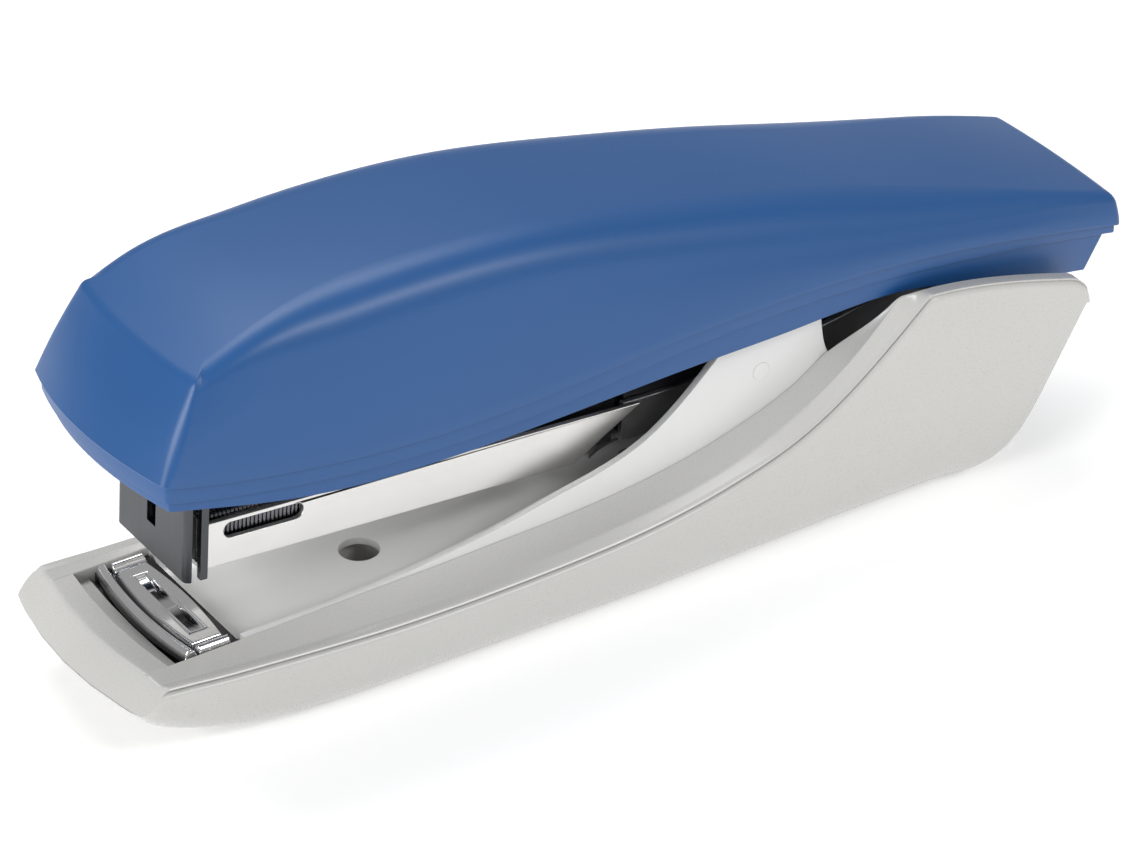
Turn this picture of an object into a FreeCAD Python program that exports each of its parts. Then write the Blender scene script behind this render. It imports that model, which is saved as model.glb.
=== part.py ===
"""Manual desk stapler, as an assembly of separate pieces.

Working frame, in millimetres: X runs from the staple line (the clinch slot of the anvil)
towards the hinge, Y across, Z up from the anvil's top face.  Each piece is moved at the
end to the row frame, whose origin is the middle of the overall box, on the table.

The magazine and what it carries are drawn pressed down and level, then lifted about the
hinge by the angle at which the return leaf holds them.  The cover is drawn at rest.
"""

import FreeCAD
import Part
import math
import os
from FreeCAD import Vector

# ---------------------------------------------------------------- overall sizes
TOE_X = -15.1                # front of the base, ahead of the staple line
HINGE_REACH = 112.0          # staple line to the hinge pin
TAIL_OVERHANG = 21.0         # hinge pin to the back of the cover
BASE_OVERHANG = 13.5         # hinge pin to the back of the base's side walls
BASE_DEPTH = 12.0            # anvil top down to the table
RIM_HEIGHT = 19.0            # top of the base's rear side walls, above the anvil
COVER_TOP = 44.6             # top edge of the cover above the anvil
COVER_TAIL_Z = 20.8          # top edge of the cover at its back
SIDE_ROOM = 6.2              # cheek's outer face to the base's side, with the cover's skirt between

# ---------------------------------------------------------------- clearances
MOVING_GAP = 0.3             # between pieces of different bodies
HINGE_PLAY = 0.05            # radial, round the hinge pin
SEAT_GAP = 0.02              # between pieces that are fixed together
STAPLE_PLAY = 0.3            # staple legs to the channel's sides
RAIL_PLAY = 0.15             # pusher over the rail
CHEEK_GAP = 0.9              # cover frame to the deck frame's cheeks

# ---------------------------------------------------------------- hinge and motion
PIVOT_Z = 12.0               # hinge pin above the anvil
PIN_RADIUS = 1.5
MAGAZINE_LIFT = 3.8          # degrees that the magazine stands open

# ---------------------------------------------------------------- base shell
TOE_DRAW_IN = 1.6            # how much narrower the toe is than the middle, each side
SIDE_EDGE_RADIUS = 5.0       # rounding of the base's lower side edges
UNDER_POCKET_MARGIN = 0.8    # flat underside between that rounding and the pocket
FOOT_HEIGHT = 0.25           # pads standing proud of the underside
PAD_THICKNESS = 1.0
PAD_LENGTH = 12.0
PAD_CORNER = 3.0
WALL = 2.2                   # base's rear side walls
CAVITY_REACH = 24.0          # hinge pin to the front of the space between the rear side walls
CAVITY_FLOOR_Z = 0.0
BASE_PLATE_THICKNESS = 1.5
UNDER_POCKET_FRONT_X = 12.0
UNDER_POCKET_SETBACK = 8.0   # hinge pin to the back of the underside pocket
DECK_SUPPORT = 2.0           # shell left between the underside pocket and the deck frame
SCREW_RADIUS = 1.3
SCREW_HEAD_RADIUS = 2.4
SCREW_HEAD_HEIGHT = 0.9
SCREW_REACH = 46.0           # hinge pin to the front screw
SCREW_SETBACK = 8.0          # back of the underside pocket to the rear screw

# ---------------------------------------------------------------- deck frame and anvil
DECK_FRONT_X = 3.2
DECK_OVERHANG = 4.0          # deck frame past the hinge pin
DECK_TOP_Z = -2.1
DECK_SHEET = 1.0
DECK_HOLE_X = 26.2
DECK_HOLE_RADIUS = 2.6
CHEEK_CREST_REACH = 32.0     # hinge pin to the tall fin of the cheeks
CHEEK_CREST_Z = 23.0
CHEEK_EYE_RADIUS = 5.0
RECESS_FRONT_X = -8.2
RECESS_DEPTH = 2.4
ANVIL_FRONT_X = -5.6
ANVIL_BACK_X = 2.9
ANVIL_SIDE_GAP = 0.3
ANVIL_BEAD_WIDTH = 1.3
ANVIL_BEAD_HEIGHT = 0.7
CLINCH_MARGIN = 0.45         # clinch slot past the staple's legs
CLINCH_HALF_WIDTH = 0.85
CLINCH_DEPTH = 0.7
LEAF_HALF_WIDTH = 4.0
LEAF_BACK_REACH = 15.0       # hinge pin to the back end of the return leaf
LEAF_FLAT = 11.0
LEAF_RIVET_INSET = 5.0

# ---------------------------------------------------------------- staples and magazine
CROWN_HALF_WIDTH = 6.45      # standard staple, 12.9 mm over the legs
WIRE = 0.55
LEG = 6.2                    # staple height over all
STRIP_LENGTH = 27.0
CHANNEL_SHEET = 0.75
CHANNEL_BOTTOM_Z = 1.1       # underside of the pressed magazine above the anvil
CHANNEL_FRONT_X = 0.45
CHANNEL_BACK_X = 53.5        # foot of the slanted back cut
CHANNEL_BACK_SLANT = 9.5
WINDOW_FRONT_X = 3.5
WINDOW_LENGTH = 11.0
WINDOW_HEIGHT = 2.2
WINDOW_UP = 4.6              # window's middle above the channel's underside
TONGUE_LENGTH = 16.0         # channel's floor carried on under the arm
TONGUE_HALF_WIDTH = 4.6
RAIL_SHEET = 0.7
RAIL_LENGTH = 59.5
RAIL_SLOT_HALF_WIDTH = 2.1
ARM_SHEET = 0.9
ARM_OVERLAP = 0.15           # arm's sides past the staple's legs
ARM_GAP = 1.0                # staple rail to the arm
ARM_EYE_RADIUS = 4.6
ROD_RADIUS = 0.9
ROD_UP = 4.2                 # rod's axis above the channel's underside
ROD_FRONT_X = 6.0
STOP_REACH = 16.0            # hinge pin to the front face of the block that holds the rod
STOP_LENGTH = 3.0
PUSHER_LENGTH = 5.0
SPRING_RADIUS = 1.9
SPRING_WALL = 0.5
RIVET_RADIUS = 1.2
RIVET_HEAD_RADIUS = 2.0
RIVET_HEAD_HEIGHT = 0.5
GUARD_FRONT_X = -2.15
GUARD_SHEET = 0.9
GUARD_BACK_X = 0.9
GUARD_BOTTOM_Z = 0.35
GUARD_TOP_Z = 15.2
GUARD_SLOT_HALF_WIDTH = 1.0
GUARD_GAP_BACK_X = -0.1      # open side between the guard's front and its legs
GUARD_GAP_TOP_Z = 11.5
STOP_PIN_REACH = 34.0        # hinge pin to the pin that the resting arm stops against
STOP_PIN_RADIUS = 1.2

# ---------------------------------------------------------------- cover
COVER_WALL = 1.6
COVER_STEP = 0.65            # each of the two steps below the cover's lip
COVER_FRAME_SHEET = 1.0
COVER_SET_IN = 0.6           # cover narrower than the base, each side
CREASE_X = -3.2              # where the cover's top turns down into its nose
CROWN_RISE = 0.45
NOSE_CORNER_X = -9.0         # where the cover's lip turns from its sides to its nose
NOSE_BOW = 2.3               # how far the nose stands ahead of its corners
NOSE_SLOPE = 0.583           # how far the nose leans forward for each mm down
FLANK_FOOT_Z = 10.0          # where the flanks are carried down to before the rim is cut
BOSS_RADIUS = 3.2
COVER_SCREW_REACH = 4.0
WEB_FRONT_X = 5.0            # cover frame's web: sloping front, level middle, sloping back
WEB_FLAT_FRONT_X = 16.0
WEB_FLAT_BACK_X = 42.0
WEB_SETBACK = 9.0            # hinge pin to the back of the web
WEB_DEPTH = 9.2              # top of the cover down to the web
WEB_BACK_Z = 21.8
FRAME_EYE_RADIUS = 4.4
TORSION_WIRE = 0.9
TORSION_RADIUS = 2.9
TORSION_HALF_LENGTH = 3.4
BLADE_FRONT_X = -0.8
BLADE_THICKNESS = 0.5
BLADE_MARGIN = 0.15          # blade narrower than the staple, each side
DRIVER_STROKE = 3.5          # degrees that the cover turns to drive one staple
LEAF_THICKNESS = 0.6

# ---------------------------------------------------------------- derived values
PIVOT_X = HINGE_REACH
TAIL_X = PIVOT_X + TAIL_OVERHANG
BASE_BACK_X = PIVOT_X + BASE_OVERHANG
CHANNEL_HALF_WIDTH = CROWN_HALF_WIDTH + STAPLE_PLAY + CHANNEL_SHEET
CHANNEL_HEIGHT = LEG
COVER_FRAME_HALF_WIDTH = CHANNEL_HALF_WIDTH + GUARD_SHEET + MOVING_GAP + COVER_FRAME_SHEET
DECK_HALF_WIDTH = COVER_FRAME_HALF_WIDTH + CHEEK_GAP + DECK_SHEET
BASE_HALF_WIDTH = DECK_HALF_WIDTH + SIDE_ROOM
COVER_HALF_WIDTH = BASE_HALF_WIDTH - COVER_SET_IN
TOE_HALF_WIDTH = BASE_HALF_WIDTH - TOE_DRAW_IN
ANVIL_HALF_WIDTH = DECK_HALF_WIDTH - ANVIL_SIDE_GAP
CLINCH_HALF_LENGTH = CROWN_HALF_WIDTH + CLINCH_MARGIN
ARM_HALF_WIDTH = CROWN_HALF_WIDTH + ARM_OVERLAP
BLADE_HALF_WIDTH = CROWN_HALF_WIDTH - BLADE_MARGIN
UNDER_POCKET_HALF_WIDTH = BASE_HALF_WIDTH - SIDE_EDGE_RADIUS - UNDER_POCKET_MARGIN
CAVITY_FRONT_X = PIVOT_X - CAVITY_REACH
UNDER_POCKET_BACK_X = PIVOT_X - UNDER_POCKET_SETBACK
DECK_BACK_X = PIVOT_X + DECK_OVERHANG
CHEEK_CREST_X = PIVOT_X - CHEEK_CREST_REACH
STOP_X = PIVOT_X - STOP_REACH
STOP_PIN_X = PIVOT_X - STOP_PIN_REACH
LEAF_BACK_X = PIVOT_X - LEAF_BACK_REACH
LEAF_RIVET_X = LEAF_BACK_X - LEAF_RIVET_INSET
WEB_BACK_X = PIVOT_X - WEB_SETBACK
WEB_FLAT_Z = COVER_TOP - WEB_DEPTH
RAIL_BACK_X = CHANNEL_FRONT_X + RAIL_LENGTH
ARM_FRONT_X = RAIL_BACK_X + ARM_GAP
TONGUE_BACK_X = ARM_FRONT_X + TONGUE_LENGTH
FLOOR_Z = -BASE_DEPTH
UNDERSIDE_Z = FLOOR_Z + FOOT_HEIGHT
DECK_BOTTOM_Z = DECK_TOP_Z - DECK_SHEET
INNER_HALF_WIDTH = BASE_HALF_WIDTH - WALL
CHANNEL_FLOOR_Z = CHANNEL_BOTTOM_Z + CHANNEL_SHEET
CHANNEL_TOP_Z = CHANNEL_BOTTOM_Z + CHANNEL_HEIGHT
LEG_BOTTOM_Z = CHANNEL_FLOOR_Z + SEAT_GAP
CROWN_TOP_Z = LEG_BOTTOM_Z + LEG
RAIL_TOP_Z = CROWN_TOP_Z - WIRE - SEAT_GAP
RAIL_HALF_WIDTH = CROWN_HALF_WIDTH - WIRE - SEAT_GAP
ROD_Z = CHANNEL_BOTTOM_Z + ROD_UP
STRIP_FRONT_X = CHANNEL_FRONT_X + 0.05
PUSHER_FRONT_X = STRIP_FRONT_X + STRIP_LENGTH + MOVING_GAP
ARM_FLOOR_Z = CHANNEL_FLOOR_Z + SEAT_GAP
PIVOT = Vector(PIVOT_X, 0, PIVOT_Z)
ACROSS = Vector(0, 1, 0)


# ---------------------------------------------------------------- helpers
def curve(points):
    """One edge through points: a line for two, a smooth curve for more."""
    if len(points) == 2:
        return Part.LineSegment(points[0], points[1]).toShape()
    spline = Part.BSplineCurve()
    spline.interpolate(points)
    return spline.toShape()


def face_of(runs, place):
    """A face bounded by runs of 2-D points that join end to end, each run one smooth edge."""
    edges = []
    for run in runs:
        edges.append(curve([place(u, v) for u, v in run]))
    return Part.Face(Part.Wire(edges))


def closed(points):
    """The runs of a polygon."""
    return [[a, b] for a, b in zip(points, points[1:] + points[:1])]


def side_prism(runs, y0, y1):
    """A side outline (X, Z) carried across from y0 to y1."""
    face = face_of(runs, lambda x, z: Vector(x, y0, z))
    return face.extrude(Vector(0, y1 - y0, 0))


def plan_prism(runs, z0, z1):
    """A plan outline (X, Y) carried up from z0 to z1."""
    face = face_of(runs, lambda x, y: Vector(x, y, z0))
    return face.extrude(Vector(0, 0, z1 - z0))


def box(x0, x1, half_width, z0, z1):
    """A block that is symmetric across the stapler."""
    return Part.makeBox(x1 - x0, 2 * half_width, z1 - z0, Vector(x0, -half_width, z0))


def mirrored(shape):
    return shape.mirror(Vector(0, 0, 0), ACROSS)


def pair(shape):
    """A shape and its mirror image on the other side."""
    return shape.fuse(mirrored(shape))


def cross_bar(x, z, radius, half_length):
    """A round bar across the stapler."""
    return Part.makeCylinder(radius, 2 * half_length, Vector(x, -half_length, z), ACROSS)


def upright(x, y, radius, z0, z1):
    return Part.makeCylinder(radius, z1 - z0, Vector(x, y, z0))


def lengthwise(x0, x1, z, radius):
    return Part.makeCylinder(radius, x1 - x0, Vector(x0, 0, z), Vector(1, 0, 0))


def lifted(shape):
    """Turn a piece of the pressed magazine up to where it rests."""
    turned = shape.copy()
    turned.rotate(PIVOT, ACROSS, MAGAZINE_LIFT)
    return turned


def lifted_point(x, z):
    """Where a point of the pressed magazine rests, as (x, z)."""
    angle = math.radians(MAGAZINE_LIFT)
    dx = x - PIVOT_X
    dz = z - PIVOT_Z
    return (
        PIVOT_X + dx * math.cos(angle) + dz * math.sin(angle),
        PIVOT_Z - dx * math.sin(angle) + dz * math.cos(angle),
    )


def mirror_run(run):
    """A plan run on the other side, read backwards so that it joins on."""
    return [(x, -y) for x, y in reversed(run)]


# ---------------------------------------------------------------- base
def base_outline():
    """Plan of the base: a bowed toe, then sides that widen towards the back."""
    corner = [
        (TOE_X + 2.4, -(TOE_HALF_WIDTH - 1.3)),
        (TOE_X + 2.9, -(TOE_HALF_WIDTH - 0.45)),
        (TOE_X + 4.2, -TOE_HALF_WIDTH),
    ]
    side = [
        corner[-1],
        (PIVOT_X * 0.2, -(TOE_HALF_WIDTH + 2 * BASE_HALF_WIDTH) / 3),
        (PIVOT_X * 0.57, -BASE_HALF_WIDTH + 0.05),
        (BASE_BACK_X, -BASE_HALF_WIDTH),
    ]
    toe = [corner[0], (TOE_X, 0), (corner[0][0], -corner[0][1])]
    back = [side[-1], (side[-1][0], -side[-1][1])]
    return [corner, side, back, mirror_run(side), mirror_run(corner), toe[::-1]]


def rim_run():
    """Side view of the base's upper edge, from the toe up to the rear walls."""
    rise = RIM_HEIGHT + 1.6
    before_hinge = [(74, 0.0), (62, 0.02), (50, 0.09), (40, 0.19), (31, 0.34), (24, 0.52), (17, 0.78)]
    climb = [(PIVOT_X - back, -1.6 + rise * part) for back, part in before_hinge]
    start = [(TOE_X + 3.7, 0), (-2, -0.7), (10, -1.4), (PIVOT_X * 0.214, -1.8)]
    return start + climb + [(PIVOT_X - 12.5, RIM_HEIGHT)]


def base_side_view():
    """Side view of the whole base."""
    rim = rim_run()
    back = BASE_BACK_X
    crest = [rim[-1], (PIVOT_X - 10, RIM_HEIGHT - 0.1), (back - 5, RIM_HEIGHT - 4.4)]
    corner = [crest[-1], (back - 1.6, RIM_HEIGHT - 5.5), (back, RIM_HEIGHT - 8.2)]
    incline = [
        corner[-1],
        (back - 1.0, 6.9),
        (back - 6.9, -3.0),
        (back - 13.0, UNDERSIDE_Z + 2.4),
        (back - 19.3, UNDERSIDE_Z),
    ]
    flat = [incline[-1], (24, UNDERSIDE_Z)]
    bow = [flat[-1], (8, UNDERSIDE_Z + 0.4), (-5.7, -8.7), (TOE_X + 1.1, -4.3), (TOE_X, -3)]
    toe = [bow[-1], rim[0]]
    return [rim, crest, corner, incline, flat, bow, toe]


def base_cross_section():
    """Section of the base seen along its length, with rounded lower edges."""
    half = BASE_HALF_WIDTH + 1
    bottom = UNDERSIDE_Z
    radius = SIDE_EDGE_RADIUS
    top = RIM_HEIGHT + 5
    inner = BASE_HALF_WIDTH - radius
    middle = BASE_HALF_WIDTH - radius * (1 - math.sqrt(0.5))
    rounded = [
        (-BASE_HALF_WIDTH, bottom + radius),
        (-middle, bottom + radius * (1 - math.sqrt(0.5))),
        (-inner, bottom),
    ]
    other = [(-y, z) for y, z in reversed(rounded)]
    return [
        [(-half, top), (-half, bottom + radius)],
        [(-half, bottom + radius), rounded[0]],
        rounded,
        [rounded[-1], other[0]],
        other,
        [other[-1], (half, bottom + radius)],
        [(half, bottom + radius), (half, top)],
        [(half, top), (-half, top)],
    ]


def recess_outline():
    """Plan of the hollow round the anvil."""
    half = DECK_HALF_WIDTH + SEAT_GAP
    front = [(RECESS_FRONT_X + 0.9, -half), (RECESS_FRONT_X, 0), (RECESS_FRONT_X + 0.9, half)]
    back = DECK_FRONT_X + 1
    return [front, [front[-1], (back, half)], [(back, half), (back, -half)], [(back, -half), front[0]]]


def screw_places():
    return [PIVOT_X - SCREW_REACH, UNDER_POCKET_BACK_X - SCREW_SETBACK]


def make_base_shell():
    body = plan_prism(base_outline(), FLOOR_Z, RIM_HEIGHT + 2)
    reach = BASE_HALF_WIDTH + 2
    body = body.common(side_prism(base_side_view(), -reach, reach))
    section = face_of(base_cross_section(), lambda y, z: Vector(TOE_X - 1, y, z))
    body = body.common(section.extrude(Vector(BASE_BACK_X - TOE_X + 2, 0, 0)))
    seat = DECK_HALF_WIDTH + SEAT_GAP
    high = RIM_HEIGHT + 5
    body = body.cut(plan_prism(recess_outline(), -RECESS_DEPTH, high))
    body = body.cut(box(DECK_FRONT_X - SEAT_GAP, DECK_BACK_X + SEAT_GAP, seat, DECK_BOTTOM_Z, high))
    body = body.cut(box(CAVITY_FRONT_X, BASE_BACK_X + 2, INNER_HALF_WIDTH, CAVITY_FLOOR_Z, high))
    pocket_top = DECK_BOTTOM_Z - DECK_SUPPORT
    pocket = box(
        UNDER_POCKET_FRONT_X, UNDER_POCKET_BACK_X, UNDER_POCKET_HALF_WIDTH, FLOOR_Z, pocket_top
    )
    for x in screw_places():
        pocket = pocket.cut(upright(x, 0, SCREW_RADIUS + 1.8, plate_top_z(), pocket_top))
    body = body.cut(pocket)
    for x in screw_places():
        body = body.cut(upright(x, 0, SCREW_RADIUS + SEAT_GAP, FLOOR_Z, DECK_BOTTOM_Z + 1))
    return body.cut(upright(DECK_HOLE_X, 0, DECK_HOLE_RADIUS, pocket_top - 1, DECK_BOTTOM_Z + 1))


def plate_top_z():
    return UNDERSIDE_Z + BASE_PLATE_THICKNESS


def make_base_plate():
    gap = 0.15
    plate = box(
        UNDER_POCKET_FRONT_X + gap,
        UNDER_POCKET_BACK_X - gap,
        UNDER_POCKET_HALF_WIDTH - gap,
        UNDERSIDE_Z,
        plate_top_z(),
    )
    for x in screw_places():
        plate = plate.cut(upright(x, 0, SCREW_RADIUS + SEAT_GAP, UNDERSIDE_Z, plate_top_z()))
        head_top = UNDERSIDE_Z + SCREW_HEAD_HEIGHT
        plate = plate.cut(upright(x, 0, SCREW_HEAD_RADIUS + SEAT_GAP, UNDERSIDE_Z, head_top))
    return plate.cut(foot_pads(SEAT_GAP))


def make_base_screws():
    screws = []
    for x in screw_places():
        head = upright(x, 0, SCREW_HEAD_RADIUS, UNDERSIDE_Z, UNDERSIDE_Z + SCREW_HEAD_HEIGHT)
        shank = upright(x, 0, SCREW_RADIUS, UNDERSIDE_Z, DECK_TOP_Z)
        slot = Part.makeBox(2 * SCREW_HEAD_RADIUS, 0.7, 0.4)
        slot.translate(Vector(x - SCREW_HEAD_RADIUS, -0.35, UNDERSIDE_Z))
        screws.append(head.fuse(shank).cut(slot))
    return Part.makeCompound(screws)


def foot_pads(room):
    """The two rubber pads let into the base plate, or their pockets with room all round."""
    pads = []
    half = UNDER_POCKET_HALF_WIDTH - 1 + room
    for x in (UNDER_POCKET_FRONT_X + 13, UNDER_POCKET_BACK_X - 26):
        pad = box(x - room, x + PAD_LENGTH + room, half, FLOOR_Z, FLOOR_Z + PAD_THICKNESS + room)
        upright_edges = [edge for edge in pad.Edges if edge.BoundBox.ZLength > PAD_THICKNESS / 2]
        pads.append(pad.makeFillet(PAD_CORNER + room, upright_edges))
    return Part.makeCompound(pads)


def make_foot_pads():
    return foot_pads(0.0)


def cheek_side_view():
    """Side view of a cheek: low along the deck, a tall fin, then the eye of the hinge pin."""
    crest = CHEEK_CREST_X
    low = [(DECK_FRONT_X, 0.1), (14, 0.3), (crest - 58, 0.6)]
    before_crest = [(48, 1.6), (40, 2.8), (32, 4.4), (25, 5.8), (19, 8.0), (14, 11.4), (8.5, 16.4)]
    sweep = [low[-1]] + [(crest - back, z) for back, z in before_crest]
    fin = [sweep[-1], (crest - 3.5, CHEEK_CREST_Z - 1.0), (crest + 1, CHEEK_CREST_Z)]
    fall = [fin[-1], (crest + 7, CHEEK_CREST_Z - 6), (crest + 8, 12.0), (crest + 13, 10.0)]
    eye = [fall[-1], (PIVOT_X - 5.5, PIVOT_Z + 3.6), (PIVOT_X, PIVOT_Z + CHEEK_EYE_RADIUS)]
    back = [
        eye[-1],
        (PIVOT_X + 3.6, PIVOT_Z + 3.5),
        (PIVOT_X + CHEEK_EYE_RADIUS, PIVOT_Z),
        (PIVOT_X + 4.6, PIVOT_Z - 4),
        (DECK_BACK_X, DECK_BOTTOM_Z),
    ]
    foot = [back[-1], (DECK_FRONT_X, DECK_BOTTOM_Z)]
    return [low, sweep, fin, fall, eye, back, foot, [foot[-1], low[0]]]


def stop_pin_z():
    """Height of the lift stop, just over the resting arm."""
    return lifted_point(STOP_PIN_X, arm_top_z(STOP_PIN_X))[1] + STOP_PIN_RADIUS + MOVING_GAP


def make_deck_frame():
    inner = DECK_HALF_WIDTH - DECK_SHEET
    frame = box(DECK_FRONT_X, DECK_BACK_X, DECK_HALF_WIDTH, DECK_BOTTOM_Z, DECK_TOP_Z)
    frame = frame.fuse(pair(side_prism(cheek_side_view(), inner, DECK_HALF_WIDTH)))
    frame = frame.cut(upright(DECK_HOLE_X, 0, DECK_HOLE_RADIUS, DECK_BOTTOM_Z - 1, DECK_TOP_Z + 1))
    reach = DECK_HALF_WIDTH + 1
    frame = frame.cut(cross_bar(PIVOT_X, PIVOT_Z, PIN_RADIUS + SEAT_GAP, reach))
    frame = frame.cut(cross_bar(STOP_PIN_X, stop_pin_z(), STOP_PIN_RADIUS + SEAT_GAP, reach))
    for x in screw_places():
        frame = frame.cut(upright(x, 0, SCREW_RADIUS + SEAT_GAP, DECK_BOTTOM_Z - 1, DECK_TOP_Z + 1))
    return frame


def make_anvil():
    half = ANVIL_HALF_WIDTH
    front = [(ANVIL_FRONT_X + 1.3, -half), (ANVIL_FRONT_X, 0), (ANVIL_FRONT_X + 1.3, half)]
    back = [(ANVIL_BACK_X - 0.5, half), (ANVIL_BACK_X, 0), (ANVIL_BACK_X - 0.5, -half)]
    outline = [front, [front[-1], back[0]], back, [back[-1], front[0]]]
    plate = plan_prism(outline, -RECESS_DEPTH, ANVIL_BEAD_HEIGHT)
    edge = ANVIL_BEAD_WIDTH
    hollow_front = [(x + edge, y * (half - edge) / half) for x, y in front]
    clear_back = ANVIL_BACK_X + 1
    hollow_half = half - edge
    hollow = [
        hollow_front,
        [hollow_front[-1], (clear_back, hollow_half)],
        [(clear_back, hollow_half), (clear_back, -hollow_half)],
        [(clear_back, -hollow_half), hollow_front[0]],
    ]
    plate = plate.cut(plan_prism(hollow, 0, ANVIL_BEAD_HEIGHT + 1))
    return plate.cut(pair(clinch_pocket()))


def clinch_pocket():
    """One hollow that turns a staple leg inwards, shallow towards the middle."""
    outline = [
        [(CLINCH_HALF_LENGTH, 0), (0.6, 0)],
        [(0.6, 0), (3.4, -CLINCH_DEPTH), (CLINCH_HALF_LENGTH, 0)],
    ]
    face = face_of(outline, lambda y, z: Vector(-CLINCH_HALF_WIDTH, y, z))
    return face.extrude(Vector(2 * CLINCH_HALF_WIDTH, 0, 0))


def make_pivot_pin():
    outer = DECK_HALF_WIDTH + 0.4
    pin = cross_bar(PIVOT_X, PIVOT_Z, PIN_RADIUS, outer)
    head = Part.makeCylinder(PIN_RADIUS + 0.9, 0.4, Vector(PIVOT_X, DECK_HALF_WIDTH, PIVOT_Z), ACROSS)
    return pin.fuse(head)


def make_pin_clip():
    start = Vector(PIVOT_X, -outer_clip_y(), PIVOT_Z)
    ring = Part.makeCylinder(PIN_RADIUS + 0.9, 0.35, start, ACROSS)
    bore = Part.makeCylinder(PIN_RADIUS + SEAT_GAP, 0.35, start, ACROSS)
    low = Vector(PIVOT_X - 0.7, start.y - 0.2, PIVOT_Z - PIN_RADIUS - 2)
    gap = Part.makeBox(1.4, 1.0, PIN_RADIUS + 2, low)
    return ring.cut(bore).cut(gap)


def outer_clip_y():
    return DECK_HALF_WIDTH + 0.36


def make_stop_pin():
    return cross_bar(STOP_PIN_X, stop_pin_z(), STOP_PIN_RADIUS, DECK_HALF_WIDTH)


# ---------------------------------------------------------------- return leaf
def leaf_side_view():
    """Side view of the return leaf: flat on the deck, then rising to the magazine."""
    t = LEAF_THICKNESS
    base = DECK_TOP_Z + SEAT_GAP
    back = LEAF_BACK_X
    foot = back - LEAF_FLAT
    tip_x, under = lifted_point(foot - 22.0, CHANNEL_BOTTOM_Z)
    crest = under - t - 0.15
    low = [(back, base), (foot, base)]
    rise = [low[-1], (foot - 5, base + 0.5), (foot - 11, base + 2.2), (foot - 17, crest - 1.1)]
    rise += [(tip_x, crest), (tip_x - 3, crest - 0.05), (tip_x - 6, crest - 1.3)]
    top = [(x, z + t) for x, z in reversed(rise)]
    return [low, rise, [rise[-1], top[0]], top, [top[-1], (back, base + t)], [(back, base + t), low[0]]]


def make_return_leaf():
    leaf = side_prism(leaf_side_view(), -LEAF_HALF_WIDTH, LEAF_HALF_WIDTH)
    hole = upright(LEAF_RIVET_X, 0, RIVET_RADIUS + SEAT_GAP, DECK_TOP_Z - 1, DECK_TOP_Z + 3)
    return leaf.cut(hole)


def make_leaf_rivet():
    foot = DECK_TOP_Z + SEAT_GAP
    top = foot + LEAF_THICKNESS
    shank = upright(LEAF_RIVET_X, 0, RIVET_RADIUS, foot, top)
    return shank.fuse(upright(LEAF_RIVET_X, 0, RIVET_HEAD_RADIUS, top, top + RIVET_HEAD_HEIGHT))


# ---------------------------------------------------------------- magazine
def arm_top_z(x):
    """Upper edge of the pressed arm at station x, ahead of the hinge eye."""
    start = CHANNEL_TOP_Z
    rise = PIVOT_Z + ARM_EYE_RADIUS - start
    span = PIVOT_X - ARM_FRONT_X
    part = max(0.0, (x - ARM_FRONT_X) / span)
    return start + rise * part ** 2


def make_magazine_channel():
    bottom = CHANNEL_BOTTOM_Z
    top = CHANNEL_TOP_Z
    outline = closed(
        [
            (CHANNEL_FRONT_X, bottom),
            (CHANNEL_BACK_X, bottom),
            (CHANNEL_BACK_X + CHANNEL_BACK_SLANT, top),
            (CHANNEL_FRONT_X, top),
        ]
    )
    channel = side_prism(outline, -CHANNEL_HALF_WIDTH, CHANNEL_HALF_WIDTH)
    inner = CHANNEL_HALF_WIDTH - CHANNEL_SHEET
    channel = channel.cut(box(CHANNEL_FRONT_X - 1, ARM_FRONT_X + 20, inner, CHANNEL_FLOOR_Z, top + 1))
    channel = channel.fuse(
        box(CHANNEL_BACK_X - 1, TONGUE_BACK_X, TONGUE_HALF_WIDTH, bottom, CHANNEL_FLOOR_Z)
    )
    channel = channel.cut(window_tool())
    for x in arm_rivet_places():
        channel = channel.cut(upright(x, 0, RIVET_RADIUS + SEAT_GAP, bottom - 1, CHANNEL_FLOOR_Z + 1))
    return lifted(channel)


def window_tool():
    """The slot through both sides that shows how many staples are left."""
    radius = WINDOW_HEIGHT / 2
    z = CHANNEL_BOTTOM_Z + WINDOW_UP
    reach = CHANNEL_HALF_WIDTH + 1
    first = WINDOW_FRONT_X + radius
    last = WINDOW_FRONT_X + WINDOW_LENGTH - radius
    slot = box(first, last, reach, z - radius, z + radius)
    return slot.fuse(cross_bar(first, z, radius, reach)).fuse(cross_bar(last, z, radius, reach))


def arm_rivet_places():
    return [TONGUE_BACK_X - 11.0, TONGUE_BACK_X - 4.0]


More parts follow.
